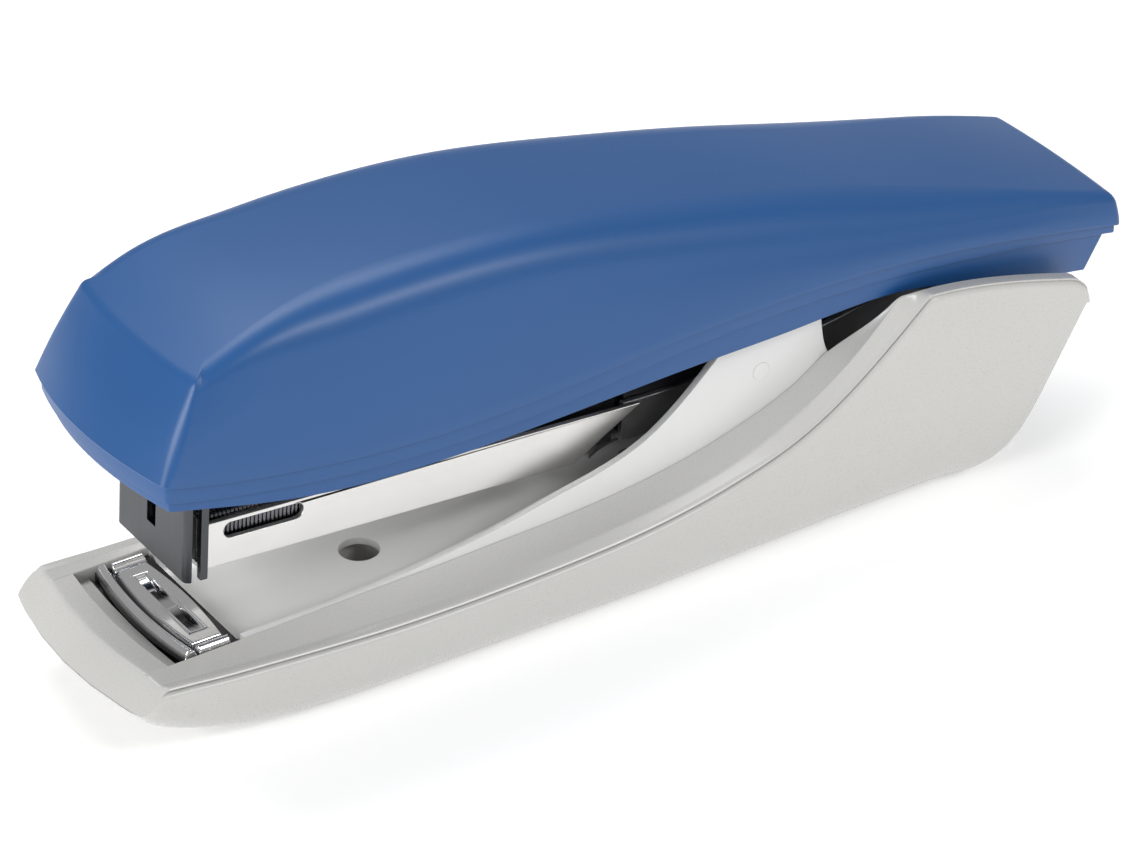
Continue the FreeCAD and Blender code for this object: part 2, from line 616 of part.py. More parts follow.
def make_magazine_arm():
    floor = ARM_FLOOR_Z
    stations = [ARM_FRONT_X + (PIVOT_X - ARM_FRONT_X) * n / 5 for n in range(6)]
    top = [(x, arm_top_z(x)) for x in stations]
    eye = [
        top[-1],
        (PIVOT_X + ARM_EYE_RADIUS, PIVOT_Z),
        (PIVOT_X, PIVOT_Z - ARM_EYE_RADIUS),
    ]
    belly = [eye[-1], (PIVOT_X - 8, PIVOT_Z - ARM_EYE_RADIUS - 2), (PIVOT_X - 16, floor)]
    outline = [top, eye, belly, [belly[-1], (ARM_FRONT_X, floor)], [(ARM_FRONT_X, floor), top[0]]]
    arm = side_prism(outline, -ARM_HALF_WIDTH, ARM_HALF_WIDTH)
    inner = ARM_HALF_WIDTH - ARM_SHEET
    arm = arm.cut(box(ARM_FRONT_X - 1, PIVOT_X + 10, inner, floor + ARM_SHEET, PIVOT_Z + 10))
    arm = arm.cut(cross_bar(PIVOT_X, PIVOT_Z, PIN_RADIUS + HINGE_PLAY, ARM_HALF_WIDTH + 1))
    for x in arm_rivet_places():
        arm = arm.cut(upright(x, 0, RIVET_RADIUS + SEAT_GAP, floor - 1, floor + ARM_SHEET + 1))
    return lifted(arm)


def make_arm_rivets():
    rivets = []
    for x in arm_rivet_places():
        head = ARM_FLOOR_Z + ARM_SHEET
        shank = upright(x, 0, RIVET_RADIUS, CHANNEL_BOTTOM_Z, head)
        rivets.append(shank.fuse(upright(x, 0, RIVET_HEAD_RADIUS, head, head + RIVET_HEAD_HEIGHT)))
    return lifted(Part.makeCompound(rivets))


def make_staple_rail():
    floor = CHANNEL_FLOOR_Z + SEAT_GAP
    front = CHANNEL_FRONT_X + 0.1
    rail = box(front, RAIL_BACK_X, RAIL_HALF_WIDTH, floor, RAIL_TOP_Z)
    inner = RAIL_HALF_WIDTH - RAIL_SHEET
    rail = rail.cut(box(front - 1, RAIL_BACK_X + 1, inner, floor - 1, RAIL_TOP_Z - RAIL_SHEET))
    slot = box(WINDOW_FRONT_X, RAIL_BACK_X + 1, RAIL_SLOT_HALF_WIDTH, floor, RAIL_TOP_Z + 1)
    return lifted(rail.cut(slot))


def make_staple_strip():
    back = STRIP_FRONT_X + STRIP_LENGTH
    strip = box(STRIP_FRONT_X, back, CROWN_HALF_WIDTH, LEG_BOTTOM_Z, CROWN_TOP_Z)
    inner = CROWN_HALF_WIDTH - WIRE
    strip = strip.cut(box(STRIP_FRONT_X - 1, back + 1, inner, LEG_BOTTOM_Z - 1, CROWN_TOP_Z - WIRE))
    return lifted(strip)


def make_pusher():
    front = PUSHER_FRONT_X
    back = front + PUSHER_LENGTH
    outer = CROWN_HALF_WIDTH
    top = CROWN_TOP_Z + 0.3
    saddle = box(front, back, outer, LEG_BOTTOM_Z + MOVING_GAP, top)
    inner = RAIL_HALF_WIDTH + RAIL_PLAY
    under = RAIL_TOP_Z + RAIL_PLAY
    saddle = saddle.cut(box(front - 1, back + 1, inner, LEG_BOTTOM_Z - 1, under))
    lug_half = RAIL_SLOT_HALF_WIDTH - MOVING_GAP
    lug = box(front + 1, back, lug_half, ROD_Z - 1.8, under + 0.2)
    lug = lug.cut(lengthwise(front, back + 1, ROD_Z, ROD_RADIUS + 0.08))
    return lifted(saddle.fuse(lug))


def make_pusher_rod():
    return lifted(lengthwise(ROD_FRONT_X, STOP_X + STOP_LENGTH, ROD_Z, ROD_RADIUS))


def make_pusher_spring():
    first = PUSHER_FRONT_X + PUSHER_LENGTH + SEAT_GAP
    last = STOP_X - SEAT_GAP
    sleeve = lengthwise(first, last, ROD_Z, SPRING_RADIUS)
    return lifted(sleeve.cut(lengthwise(first - 1, last + 1, ROD_Z, SPRING_RADIUS - SPRING_WALL)))


def make_rear_stop():
    floor = ARM_FLOOR_Z + ARM_SHEET + SEAT_GAP
    half = ARM_HALF_WIDTH - ARM_SHEET - SEAT_GAP
    block = box(STOP_X, STOP_X + STOP_LENGTH, half, floor, ROD_Z + 4)
    shelf_back = STOP_X + STOP_LENGTH
    return lifted(block.cut(lengthwise(STOP_X - 1, shelf_back + 1, ROD_Z, ROD_RADIUS + SEAT_GAP)))


def make_front_guard():
    half = CHANNEL_HALF_WIDTH + GUARD_SHEET
    guard = box(GUARD_FRONT_X, GUARD_BACK_X, half, GUARD_BOTTOM_Z, GUARD_TOP_Z)
    corners = [edge for edge in guard.Edges if is_front_upright(edge)]
    guard = guard.makeFillet(GUARD_SHEET, corners)
    inner_x = GUARD_FRONT_X + GUARD_SHEET
    inner = box(inner_x, GUARD_BACK_X + 1, CHANNEL_HALF_WIDTH, GUARD_BOTTOM_Z - 1, GUARD_TOP_Z + 1)
    guard = guard.cut(inner)
    reach = half + 1
    side_gap = box(inner_x, GUARD_GAP_BACK_X, reach, GUARD_BOTTOM_Z - 1, GUARD_GAP_TOP_Z)
    guard = guard.cut(side_gap)
    slot = box(GUARD_FRONT_X - 1, GUARD_FRONT_X + 2, GUARD_SLOT_HALF_WIDTH, 4.5, GUARD_TOP_Z - 2.5)
    return lifted(guard.cut(slot))


def is_front_upright(edge):
    """Whether an edge stands at the guard's front corners."""
    span = edge.BoundBox
    return span.ZLength > 1 and span.XMax < GUARD_FRONT_X + 0.01


# ---------------------------------------------------------------- cover
def cover_stations():
    """Along the cover: station, ridge half width, ridge height, lip half width.

    Stations are shares of the length from the nose's crease to the tail, heights are shares
    of the climb from the tail to the top, and the last two say how far ridge and lip are
    drawn in from the cover's widest.
    """
    shape = [
        (0.0, 0.786, 3.8, 1.3),
        (0.06, 0.909, 3.3, 0.7),
        (0.134, 0.971, 3.0, 0.2),
        (0.23, 0.984, 2.9, 0.0),
        (0.355, 0.938, 3.0, 0.0),
        (0.503, 0.786, 3.3, 0.2),
        (0.65, 0.601, 3.6, 0.9),
        (0.797, 0.37, 3.9, 1.8),
        (0.908, 0.181, 4.3, 2.9),
        (1.0, 0.0, 4.8, 4.4),
    ]
    length = TAIL_X - CREASE_X
    climb = COVER_TOP - COVER_TAIL_Z
    stations = []
    for along, up, ridge_in, lip_in in shape:
        ridge = COVER_HALF_WIDTH - ridge_in
        lip = COVER_HALF_WIDTH - lip_in
        stations.append((CREASE_X + length * along, ridge, COVER_TAIL_Z + climb * up, lip))
    return stations


def cover_section(station, inset):
    """A closed section of the cover, or of the space inside it when inset is the wall."""
    x, ridge, height, lip = station
    lip_z = 24.0
    spread = (lip - ridge) / max(1.0, height - lip_z) if height > lip_z + 3 else 0.05
    foot = ridge + spread * (height - FLANK_FOOT_Z) - inset
    ridge = ridge - inset
    height = height - inset
    rounding = min(3.6, ridge - 1)
    top_y = ridge - rounding
    drop = rounding * 0.9
    points = [
        (-foot, FLANK_FOOT_Z),
        (-ridge - spread * drop, height - drop),
        (-ridge + rounding * 0.29, height - drop * 0.29),
        (-top_y, height + 0.05),
        (0, height + CROWN_RISE),
        (top_y, height + 0.05),
        (ridge - rounding * 0.29, height - drop * 0.29),
        (ridge + spread * drop, height - drop),
        (foot, FLANK_FOOT_Z),
    ]
    leaning = x < 0
    nose_top = height
    placed = []
    for y, z in points:
        lean = NOSE_SLOPE * (nose_top - z) if leaning else 0.0
        placed.append(Vector(x - lean, y, z))
    return Part.makePolygon(placed + placed[:1])


def cover_body(inset):
    """The cover's outer form, or the form of its hollow, before the rim is cut."""
    stations = cover_stations()
    if inset:
        first = stations[0]
        last = stations[-1]
        stations[0] = (first[0] + inset,) + first[1:]
        stations[-1] = (last[0] - inset,) + last[1:]
    return Part.makeLoft([cover_section(s, inset) for s in stations], True, False)


def lip_outline(inset):
    """Plan of the cover's rim, drawn in by inset."""
    stations = cover_stations()
    nose_x = NOSE_CORNER_X + inset
    half = stations[0][3] - inset
    corner = [(nose_x, -(half - 0.9)), (nose_x + 0.6, -(half - 0.25)), (nose_x + 2.0, -half)]
    side = corner[-1:] + [(x, -(lip - inset)) for x, ridge, height, lip in stations[1:-1]]
    tail_half = stations[-1][3] - inset
    side.append((TAIL_X - 1.2 - inset, -tail_half))
    tail = [side[-1], (TAIL_X - 0.35 - inset, -(tail_half - 0.4)), (TAIL_X - inset, -(tail_half - 1.4))]
    across = [tail[-1], (tail[-1][0], -tail[-1][1])]
    nose = [corner[0], (nose_x - NOSE_BOW, 0), (corner[0][0], -corner[0][1])]
    far_side = [mirror_run(tail), mirror_run(side), mirror_run(corner)]
    return [corner, side, tail, across] + far_side + [nose[::-1]]


def from_hinge(points):
    """A side-view run whose stations are given ahead of (negative) or behind the hinge pin."""
    return [(PIVOT_X + x, z) for x, z in points]


def lip_run():
    """Side view of the lip, the widest line round the cover."""
    nose = [(-14, 28.9), (-4.8, 26.6), (8.5, 24.5), (22, 23.3)]
    rear = [(-72, 23.2), (-55, 24.4), (-40, 24.9), (-24, 24.4), (-8, 22.6), (7, 19.9)]
    return nose + from_hinge(rear) + [(TAIL_X + 3, COVER_TAIL_Z - 3.4)]


def step_run():
    """Side view of the edge of the first step under the lip."""
    nose = [(-14, 26.4), (-4.4, 24.1), (8.5, 22.1), (22, 20.9)]
    rear = [(-68, 20.9), (-47, 22.5), (-32, 22.7), (-16, 21.6), (-4, 20.0), (7, 18.2)]
    return nose + from_hinge(rear) + [(TAIL_X + 3, COVER_TAIL_Z - 4.7)]


def rim_bottom_run():
    """Side view of the cover's lowest edge."""
    nose = [(-14, 24.9), (-4, 22.5), (8, 20.0), (23, 18.6)]
    rear = [(-68, 18.6), (-46, 19.2), (-31, 19.1), (-15, 18.9), (-6, 17.6), (6, 14.8), (14, 11.2)]
    return nose + from_hinge(rear) + [(TAIL_X + 3, COVER_TAIL_Z - 11.3)]


def under_region(run, reach):
    """Everything below a rim line, across the whole cover."""
    low = FLANK_FOOT_Z - 20
    first = run[0]
    last = run[-1]
    sides = [[last, (last[0], low)], [(last[0], low), (first[0], low)], [(first[0], low), first]]
    return side_prism([run] + sides, -reach, reach)


def make_top_cover():
    reach = BASE_HALF_WIDTH + 4
    low = FLANK_FOOT_Z - 5
    high = COVER_TOP + 5
    outer = cover_body(0.0).common(plan_prism(lip_outline(0.0), low, high))
    outer = outer.cut(under_region(rim_bottom_run(), reach))
    ring_one = under_region(lip_run(), reach).cut(plan_prism(lip_outline(COVER_STEP), low, high))
    outer = outer.cut(ring_one)
    ring_two = under_region(step_run(), reach).cut(plan_prism(lip_outline(2 * COVER_STEP), low, high))
    outer = outer.cut(ring_two)
    hollow = cover_body(COVER_WALL)
    hollow = hollow.common(plan_prism(lip_outline(2 * COVER_STEP + COVER_WALL), low - 10, high))
    for x in cover_screw_places():
        foot = frame_web_z(x - BOSS_RADIUS) + SEAT_GAP
        hollow = hollow.cut(upright(x, 0, BOSS_RADIUS, foot, high))
    cover = outer.cut(hollow)
    for x in cover_screw_places():
        top = frame_web_z(x) + COVER_SCREW_REACH
        cover = cover.cut(upright(x, 0, SCREW_RADIUS + SEAT_GAP, low, top))
    return cover


def cover_screw_places():
    return [WEB_FLAT_FRONT_X + 13.0, WEB_FLAT_BACK_X + 20.0]


def frame_web_z(x):
    """Height of the cover frame's web at station x."""
    if x < WEB_FLAT_BACK_X:
        return WEB_FLAT_Z
    part = (x - WEB_FLAT_BACK_X) / (WEB_BACK_X - WEB_FLAT_BACK_X)
    return WEB_FLAT_Z + (WEB_BACK_Z - WEB_FLAT_Z) * part


def make_cover_screws():
    screws = []
    for x in cover_screw_places():
        web = frame_web_z(x)
        under = frame_web_z(x + SCREW_HEAD_RADIUS) - COVER_FRAME_SHEET - SEAT_GAP
        shank = upright(x, 0, SCREW_RADIUS, under, web + COVER_SCREW_REACH - 0.3)
        head = upright(x, 0, SCREW_HEAD_RADIUS, under - 1.2, under)
        screws.append(shank.fuse(head))
    return Part.makeCompound(screws)


def make_cover_frame():
    """A channel, open below, whose ears turn on the hinge pin outside the magazine's arm."""
    web = [(WEB_FRONT_X, WEB_FLAT_Z - 1.5), (WEB_FLAT_FRONT_X, WEB_FLAT_Z)]
    web += [(WEB_FLAT_BACK_X, WEB_FLAT_Z), (WEB_BACK_X, WEB_BACK_Z)]
    top = [[a, b] for a, b in zip(web, web[1:])]
    radius = FRAME_EYE_RADIUS
    eye = [
        web[-1],
        (PIVOT_X + radius * 0.3, PIVOT_Z + radius * 1.1),
        (PIVOT_X + radius, PIVOT_Z),
        (PIVOT_X, PIVOT_Z - radius),
    ]
    neck = [(PIVOT_X - 5, PIVOT_Z + 0.5), (PIVOT_X - 12, PIVOT_Z + 4.5), (PIVOT_X - 24, 19.6)]
    belly = [eye[-1]] + neck
    edge = [belly[-1], (PIVOT_X - 46, 22.6), (40, 24.0), (WEB_FRONT_X, 24.6)]
    outline = top + [eye, belly, edge, [edge[-1], web[0]]]
    frame = side_prism(outline, -COVER_FRAME_HALF_WIDTH, COVER_FRAME_HALF_WIDTH)
    sheet = COVER_FRAME_SHEET
    under = [(x, z - sheet) for x, z in web]
    under += [(PIVOT_X + 12, WEB_BACK_Z - sheet), (PIVOT_X + 12, -5), (WEB_FRONT_X - 1, -5)]
    under += [(WEB_FRONT_X - 1, under[0][1])]
    inner = COVER_FRAME_HALF_WIDTH - sheet
    frame = frame.cut(side_prism(closed(under), -inner, inner))
    reach = COVER_FRAME_HALF_WIDTH + 1
    frame = frame.cut(cross_bar(PIVOT_X, PIVOT_Z, PIN_RADIUS + HINGE_PLAY, reach))
    for x in cover_screw_places() + leaf_rivet_places():
        frame = frame.cut(upright(x, 0, SCREW_RADIUS + SEAT_GAP, PIVOT_Z, COVER_TOP))
    return frame


def leaf_rivet_places():
    return [WEB_FLAT_FRONT_X + 4.0]


def driver_leaf_run():
    """Side view of the driver leaf's lower edge, from the blade back to the frame's web."""
    web_under = WEB_FLAT_Z - COVER_FRAME_SHEET - LEAF_THICKNESS - SEAT_GAP
    return [(BLADE_FRONT_X, web_under - 2.2), (9, web_under - 1.2), (WEB_FLAT_FRONT_X, web_under)]


def make_driver_leaf():
    """A spring leaf, riveted under the cover frame's web, that carries the blade."""
    low = driver_leaf_run()
    back = WEB_FLAT_FRONT_X + 7.5
    low_back = (back, low[-1][1])
    high = [(x, z + LEAF_THICKNESS) for x, z in reversed(low)]
    high_back = (back, low_back[1] + LEAF_THICKNESS)
    outline = [low, [low[-1], low_back], [low_back, high_back], [high_back, high[0]]]
    outline += [high, [high[-1], low[0]]]
    leaf = side_prism(outline, -BLADE_HALF_WIDTH, BLADE_HALF_WIDTH)
    for x in leaf_rivet_places():
        leaf = leaf.cut(upright(x, 0, SCREW_RADIUS + SEAT_GAP, PIVOT_Z, COVER_TOP))
    return leaf


def make_driver_blade():
    """The blade that shears off one staple and pushes it down, tapered in at its top.

    It is drawn halfway through its stroke, where it stands square to the magazine.
    """
    half_stroke = math.radians(DRIVER_STROKE / 2)
    reach = PIVOT_X - BLADE_FRONT_X
    bottom = CROWN_TOP_Z + MOVING_GAP - reach * math.sin(half_stroke)
    rise = reach * math.sin(math.radians(MAGAZINE_LIFT) + half_stroke)
    top = driver_leaf_run()[0][1] - rise - MOVING_GAP
    half = BLADE_HALF_WIDTH
    outline = closed([(-half, bottom), (half, bottom), (half, top - 4), (half - 2.5, top),
                      (2.5 - half, top), (-half, top - 4)])
    face = face_of(outline, lambda y, z: Vector(BLADE_FRONT_X, y, z))
    blade = face.extrude(Vector(BLADE_THICKNESS, 0, 0))
    blade.rotate(PIVOT, ACROSS, DRIVER_STROKE / 2)
    return lifted(blade)


def make_driver_rivet():
    shapes = []
    low = driver_leaf_run()[-1][1]
    for x in leaf_rivet_places():
        shank = upright(x, 0, SCREW_RADIUS, low - RIVET_HEAD_HEIGHT, WEB_FLAT_Z)
        head = upright(x, 0, SCREW_HEAD_RADIUS, low - RIVET_HEAD_HEIGHT, low)
        cap = upright(x, 0, SCREW_HEAD_RADIUS, WEB_FLAT_Z, WEB_FLAT_Z + RIVET_HEAD_HEIGHT)
        shapes.append(shank.fuse(head).fuse(cap))
    return Part.makeCompound(shapes)


def make_cover_spring():
    """Torsion coil round the hinge pin that lifts the cover off the magazine after a stroke."""
    coil = cross_bar(PIVOT_X, PIVOT_Z, TORSION_RADIUS, TORSION_HALF_LENGTH)
    bore = TORSION_RADIUS - TORSION_WIRE
    coil = coil.cut(cross_bar(PIVOT_X, PIVOT_Z, bore, TORSION_HALF_LENGTH + 1))
    radius = TORSION_WIRE / 2
    seat = TORSION_RADIUS - radius
    side = TORSION_HALF_LENGTH - radius
    low = Vector(PIVOT_X, -side, PIVOT_Z - seat)
    floor_leg = Part.makeCylinder(radius, 9, low, Vector(-1, 0, -0.12))
    high = Vector(PIVOT_X, side, PIVOT_Z + seat)
    cover_leg = Part.makeCylinder(radius, 11, high, Vector(-1, 0, 0.12))
    return coil.fuse(floor_leg).fuse(cover_leg)


def make_magazine_cap():
    """Black moulded cap over the arm, ahead of the hinge, that covers the pusher spring."""
    front = RAIL_BACK_X + 1.6
    back = STOP_PIN_X - 4.5
    wall = 1.2
    top = [(front, CHANNEL_TOP_Z + 3.2), (back - 3, arm_top_z(back) + 3.4)]
    top.append((back, arm_top_z(back) + 2.4))
    low = [(back, arm_top_z(back) - 1.0), (front, CHANNEL_TOP_Z + SEAT_GAP)]
    outline = [top, [top[-1], low[0]], low, [low[-1], top[0]]]
    inner = ARM_HALF_WIDTH - ARM_SHEET - SEAT_GAP
    cap = side_prism(outline, -inner, inner)
    hollow = [(x + wall * (1 if x == front else 0), z - wall) for x, z in top]
    bottom_z = CHANNEL_TOP_Z - 3
    rest = [[hollow[-1], (back, bottom_z)], [(back, bottom_z), (hollow[0][0], bottom_z)]]
    rest += [[(hollow[0][0], bottom_z), hollow[0]]]
    return lifted(cap.cut(side_prism([hollow] + rest, wall - inner, inner - wall)))


NODES = {
    "base_shell": make_base_shell,
    "base_plate": make_base_plate,
    "base_screws": make_base_screws,
    "foot_pads": make_foot_pads,
    "deck_frame": make_deck_frame,
    "anvil": make_anvil,
    "pivot_pin": make_pivot_pin,
    "pin_clip": make_pin_clip,
    "lift_stop_pin": make_stop_pin,
    "return_leaf": make_return_leaf,
    "leaf_rivet": make_leaf_rivet,
    "magazine_channel": make_magazine_channel,
    "magazine_arm": make_magazine_arm,
    "arm_rivets": make_arm_rivets,
    "staple_rail": make_staple_rail,
    "staple_strip": make_staple_strip,
    "pusher": make_pusher,
    "pusher_rod": make_pusher_rod,
    "pusher_spring": make_pusher_spring,
    "rear_stop": make_rear_stop,
    "magazine_cap": make_magazine_cap,
    "cover_spring": make_cover_spring,
    "front_guard": make_front_guard,
    "top_cover": make_top_cover,
    "cover_frame": make_cover_frame,
    "cover_screws": make_cover_screws,
    "driver_rivet": make_driver_rivet,
    "driver_blade": make_driver_blade,
    "driver_leaf": make_driver_leaf,
}


def main():
    os.makedirs("parts", exist_ok=True)
    to_row = Vector(-(TOE_X + TAIL_X) / 2, 0, BASE_DEPTH)
    for name, make in NODES.items():
        shape = make()
        shape.translate(to_row)
        shape.exportStep("parts/" + name + ".step")
        print(name, len(shape.Solids), shape.isValid(), round(shape.Volume, 1))


main()
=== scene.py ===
"""Looks of a manual desk stapler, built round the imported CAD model.

Lengths are in millimetres in the stapler's working frame: x runs from the staple line to the
hinge, y across, z up from the anvil's top.  at() turns them into metres in the row frame.
"""

import math

import bmesh
import bpy
import numpy as np
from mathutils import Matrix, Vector


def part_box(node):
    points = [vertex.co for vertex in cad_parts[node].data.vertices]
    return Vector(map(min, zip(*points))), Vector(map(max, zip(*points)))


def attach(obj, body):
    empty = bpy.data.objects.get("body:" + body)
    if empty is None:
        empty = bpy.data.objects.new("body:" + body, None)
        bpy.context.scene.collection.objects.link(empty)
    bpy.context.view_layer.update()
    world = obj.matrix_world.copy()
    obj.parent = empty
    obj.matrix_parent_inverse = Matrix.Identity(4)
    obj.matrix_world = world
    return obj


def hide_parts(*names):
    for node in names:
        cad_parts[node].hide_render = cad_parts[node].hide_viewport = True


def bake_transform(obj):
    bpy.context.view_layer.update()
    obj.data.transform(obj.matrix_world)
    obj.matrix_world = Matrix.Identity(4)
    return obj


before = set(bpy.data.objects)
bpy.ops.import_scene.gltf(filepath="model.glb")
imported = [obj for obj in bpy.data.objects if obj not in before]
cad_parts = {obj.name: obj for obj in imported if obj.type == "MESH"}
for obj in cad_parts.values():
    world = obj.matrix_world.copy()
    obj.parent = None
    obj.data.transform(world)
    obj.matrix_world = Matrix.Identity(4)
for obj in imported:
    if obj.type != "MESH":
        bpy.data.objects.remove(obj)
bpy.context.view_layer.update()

# ---------------------------------------------------------------- sizes shared with the frame
MM = 0.001
TOE_X = -15.1
ANVIL_UP = 12.0
STAPLE_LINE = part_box("base_shell")[0].x - TOE_X * MM
HINGE_X = 112.0
HINGE_Z = 12.0
LIFT = math.radians(3.8)
TAIL_X = 133.0


def at(x, y, z):
    """A point of the working frame, in metres in the row frame."""
    return Vector((STAPLE_LINE + x * MM, y * MM, (z + ANVIL_UP) * MM))


def lifted(x, y, z):
    """A point that is drawn with the magazine pressed level, where the magazine rests."""
    ahead = x - HINGE_X
    up = z - HINGE_Z
    turned_x = HINGE_X + ahead * math.cos(LIFT) + up * math.sin(LIFT)
    turned_z = HINGE_Z - ahead * math.sin(LIFT) + up * math.cos(LIFT)
    return turned_x, y, turned_z


# ---------------------------------------------------------------- curves
def mix(a, b, t):
    return a + (b - a) * t


def ease(t):
    t = min(max(t, 0.0), 1.0)
    return t * t * (3 - 2 * t)


def lower_of(a, b, rounding):
    """The lower of two heights, with the corner between them rounded."""
    share = min(max(0.5 + 0.5 * (b - a) / rounding, 0.0), 1.0)
    return mix(b, a, share) - rounding * share * (1 - share)


def run(points):
    """A smooth value along the stapler through (x, value) points, straight on past its ends."""
    xs = np.array([p[0] for p in points], float)
    ys = np.array([p[1] for p in points], float)
    count = len(xs)
    gaps = np.diff(xs)
    system = np.eye(count)
    right = np.zeros(count)
    for i in range(1, count - 1):
        system[i, i - 1 : i + 2] = gaps[i - 1], 2 * (gaps[i - 1] + gaps[i]), gaps[i]
        right[i] = 6 * ((ys[i + 1] - ys[i]) / gaps[i] - (ys[i] - ys[i - 1]) / gaps[i - 1])
    bend = np.linalg.solve(system, right)

    def value(x):
        i = int(min(max(np.searchsorted(xs, x) - 1, 0), count - 2))
        gap = gaps[i]
        steep = (ys[i + 1] - ys[i]) / gap - gap * (2 * bend[i] + bend[i + 1]) / 6
        if x < xs[0]:
            return ys[0] + steep * (x - xs[0])
        d = x - xs[i]
        if x > xs[-1]:
            end_slope = steep + gap * (bend[i] + bend[i + 1]) / 2
            return ys[-1] + end_slope * (x - xs[-1])
        return ys[i] + steep * d + bend[i] * d * d / 2 + (bend[i + 1] - bend[i]) * d**3 / (6 * gap)

    return value


def bezier(a, b, c, t):
    return tuple((1 - t) ** 2 * p + 2 * t * (1 - t) * q + t * t * r for p, q, r in zip(a, b, c))


def between(a, b, t):
    return tuple(mix(p, q, t) for p, q in zip(a, b))


# ---------------------------------------------------------------- meshes
def grid_faces(rows, columns, first=0, around=False):
    """Quads over rows x columns of points, closed on itself along each row if around is set."""
    faces = []
    for r in range(rows - 1):
        for c in range(columns if around else columns - 1):
            d = (c + 1) % columns
            a = first + r * columns
            b = a + columns
            faces.append((a + c, a + d, b + d, b + c))
    return faces


def piece_from(name, points, faces, material, sharp=35.0, place=at):
    """A new piece from points of the working frame."""
    mesh = bpy.data.meshes.new(name)
    mesh.from_pydata([place(*p) for p in points], [], faces)
    work = bmesh.new()
    work.from_mesh(mesh)
    bmesh.ops.remove_doubles(work, verts=work.verts, dist=1e-7)
    bmesh.ops.recalc_face_normals(work, faces=work.faces)
    work.to_mesh(mesh)
    work.free()
    mesh.polygons.foreach_set("use_smooth", [True] * len(mesh.polygons))
    mesh.set_sharp_from_angle(angle=math.radians(sharp))
    mesh.materials.append(material)
    piece = bpy.data.objects.new(name, mesh)
    bpy.context.scene.collection.objects.link(piece)
    return piece


def tube(path, radius, sides, flat=1.0):
    """Points and faces of a closed round wire along a path; flat under 1 flattens it sideways."""
    points = []
    path = [Vector(p) for p in path]
    side = Vector((0, 1, 0))
    for i, here in enumerate(path):
        ahead = path[min(i + 1, len(path) - 1)] - path[max(i - 1, 0)]
        ahead.normalize()
        side = side - ahead * side.dot(ahead)
        if side.length < 1e-4:
            side = ahead.orthogonal()
        side.normalize()
        other = ahead.cross(side)
        for k in range(sides):
            angle = 2 * math.pi * k / sides
            offset = side * math.cos(angle) * radius * flat + other * math.sin(angle) * radius
            points.append(tuple(here + offset))
    faces = grid_faces(len(path), sides, 0, True)
    faces.append(tuple(range(sides)))
    faces.append(tuple(range((len(path) - 1) * sides, len(path) * sides)))
    return points, faces


def joined(parts):
    """Several (points, faces) as one."""
    points = []
    faces = []
    for more_points, more_faces in parts:
        first = len(points)
        points.extend(more_points)
        faces.extend(tuple(i + first for i in face) for face in more_faces)
    return points, faces


def pierce(piece, x, radius, low, high):
    """Cuts an upright round hole through a piece, on the middle line."""
    sides = 48
    points = []
    for z in (low, high):
        for k in range(sides):
            angle = 2 * math.pi * k / sides
            points.append(at(x + radius * math.cos(angle), radius * math.sin(angle), z))
    faces = grid_faces(2, sides, 0, True) + [tuple(range(sides))[::-1], tuple(range(sides, 2 * sides))]
    shape = bpy.data.meshes.new("drill")
    shape.from_pydata(points, [], faces)
    drill = bpy.data.objects.new("drill", shape)
    bpy.context.scene.collection.objects.link(drill)
    cut = piece.modifiers.new("Hole", "BOOLEAN")
    cut.object = drill
    bpy.context.view_layer.update()
    finished = piece.evaluated_get(bpy.context.evaluated_depsgraph_get())
    holed = bpy.data.meshes.new_from_object(finished)
    piece.modifiers.clear()
    piece.data = holed
    bpy.data.objects.remove(drill)
    bpy.data.meshes.remove(shape)


# ---------------------------------------------------------------- materials
def new_material(name):
    material = bpy.data.materials.new(name)
    material.use_nodes = True
    nodes = material.node_tree.nodes
    shader = nodes["Principled BSDF"]
    where = nodes.new("ShaderNodeTexCoord")
    return material, nodes, material.node_tree.links, shader, where.outputs["Object"]


def noise(nodes, links, where, scale, detail=3.0, stretch=(1, 1, 1)):
    mapping = nodes.new("ShaderNodeMapping")
    mapping.inputs["Scale"].default_value = stretch
    texture = nodes.new("ShaderNodeTexNoise")
    texture.inputs["Scale"].default_value = scale
    texture.inputs["Detail"].default_value = detail
    links.new(where, mapping.inputs["Vector"])
    links.new(mapping.outputs["Vector"], texture.inputs["Vector"])
    return texture.outputs["Fac"]


def ramp(nodes, links, value, low, high, start=0.3, end=0.7):
    blend = nodes.new("ShaderNodeValToRGB")
    blend.color_ramp.elements[0].position = start
    blend.color_ramp.elements[1].position = end
    blend.color_ramp.elements[0].color = (*low, 1)
    blend.color_ramp.elements[1].color = (*high, 1)
    links.new(value, blend.inputs["Fac"])
    return blend.outputs["Color"]


def spread(nodes, links, value, low, high):
    """A 0..1 value moved to low..high."""
    span = nodes.new("ShaderNodeMapRange")
    span.inputs["To Min"].default_value = low
    span.inputs["To Max"].default_value = high
    links.new(value, span.inputs["Value"])
    return span.outputs["Result"]


def bump(nodes, links, shader, heights):
    """Bumps from (height value, strength, distance in metres), one over the other."""
    below = None
    for height, strength, distance in heights:
        node = nodes.new("ShaderNodeBump")
        node.inputs["Strength"].default_value = strength
        node.inputs["Distance"].default_value = distance
        links.new(height, node.inputs["Height"])
        if below:
            links.new(below, node.inputs["Normal"])
        below = node.outputs["Normal"]
    links.new(below, shader.inputs["Normal"])


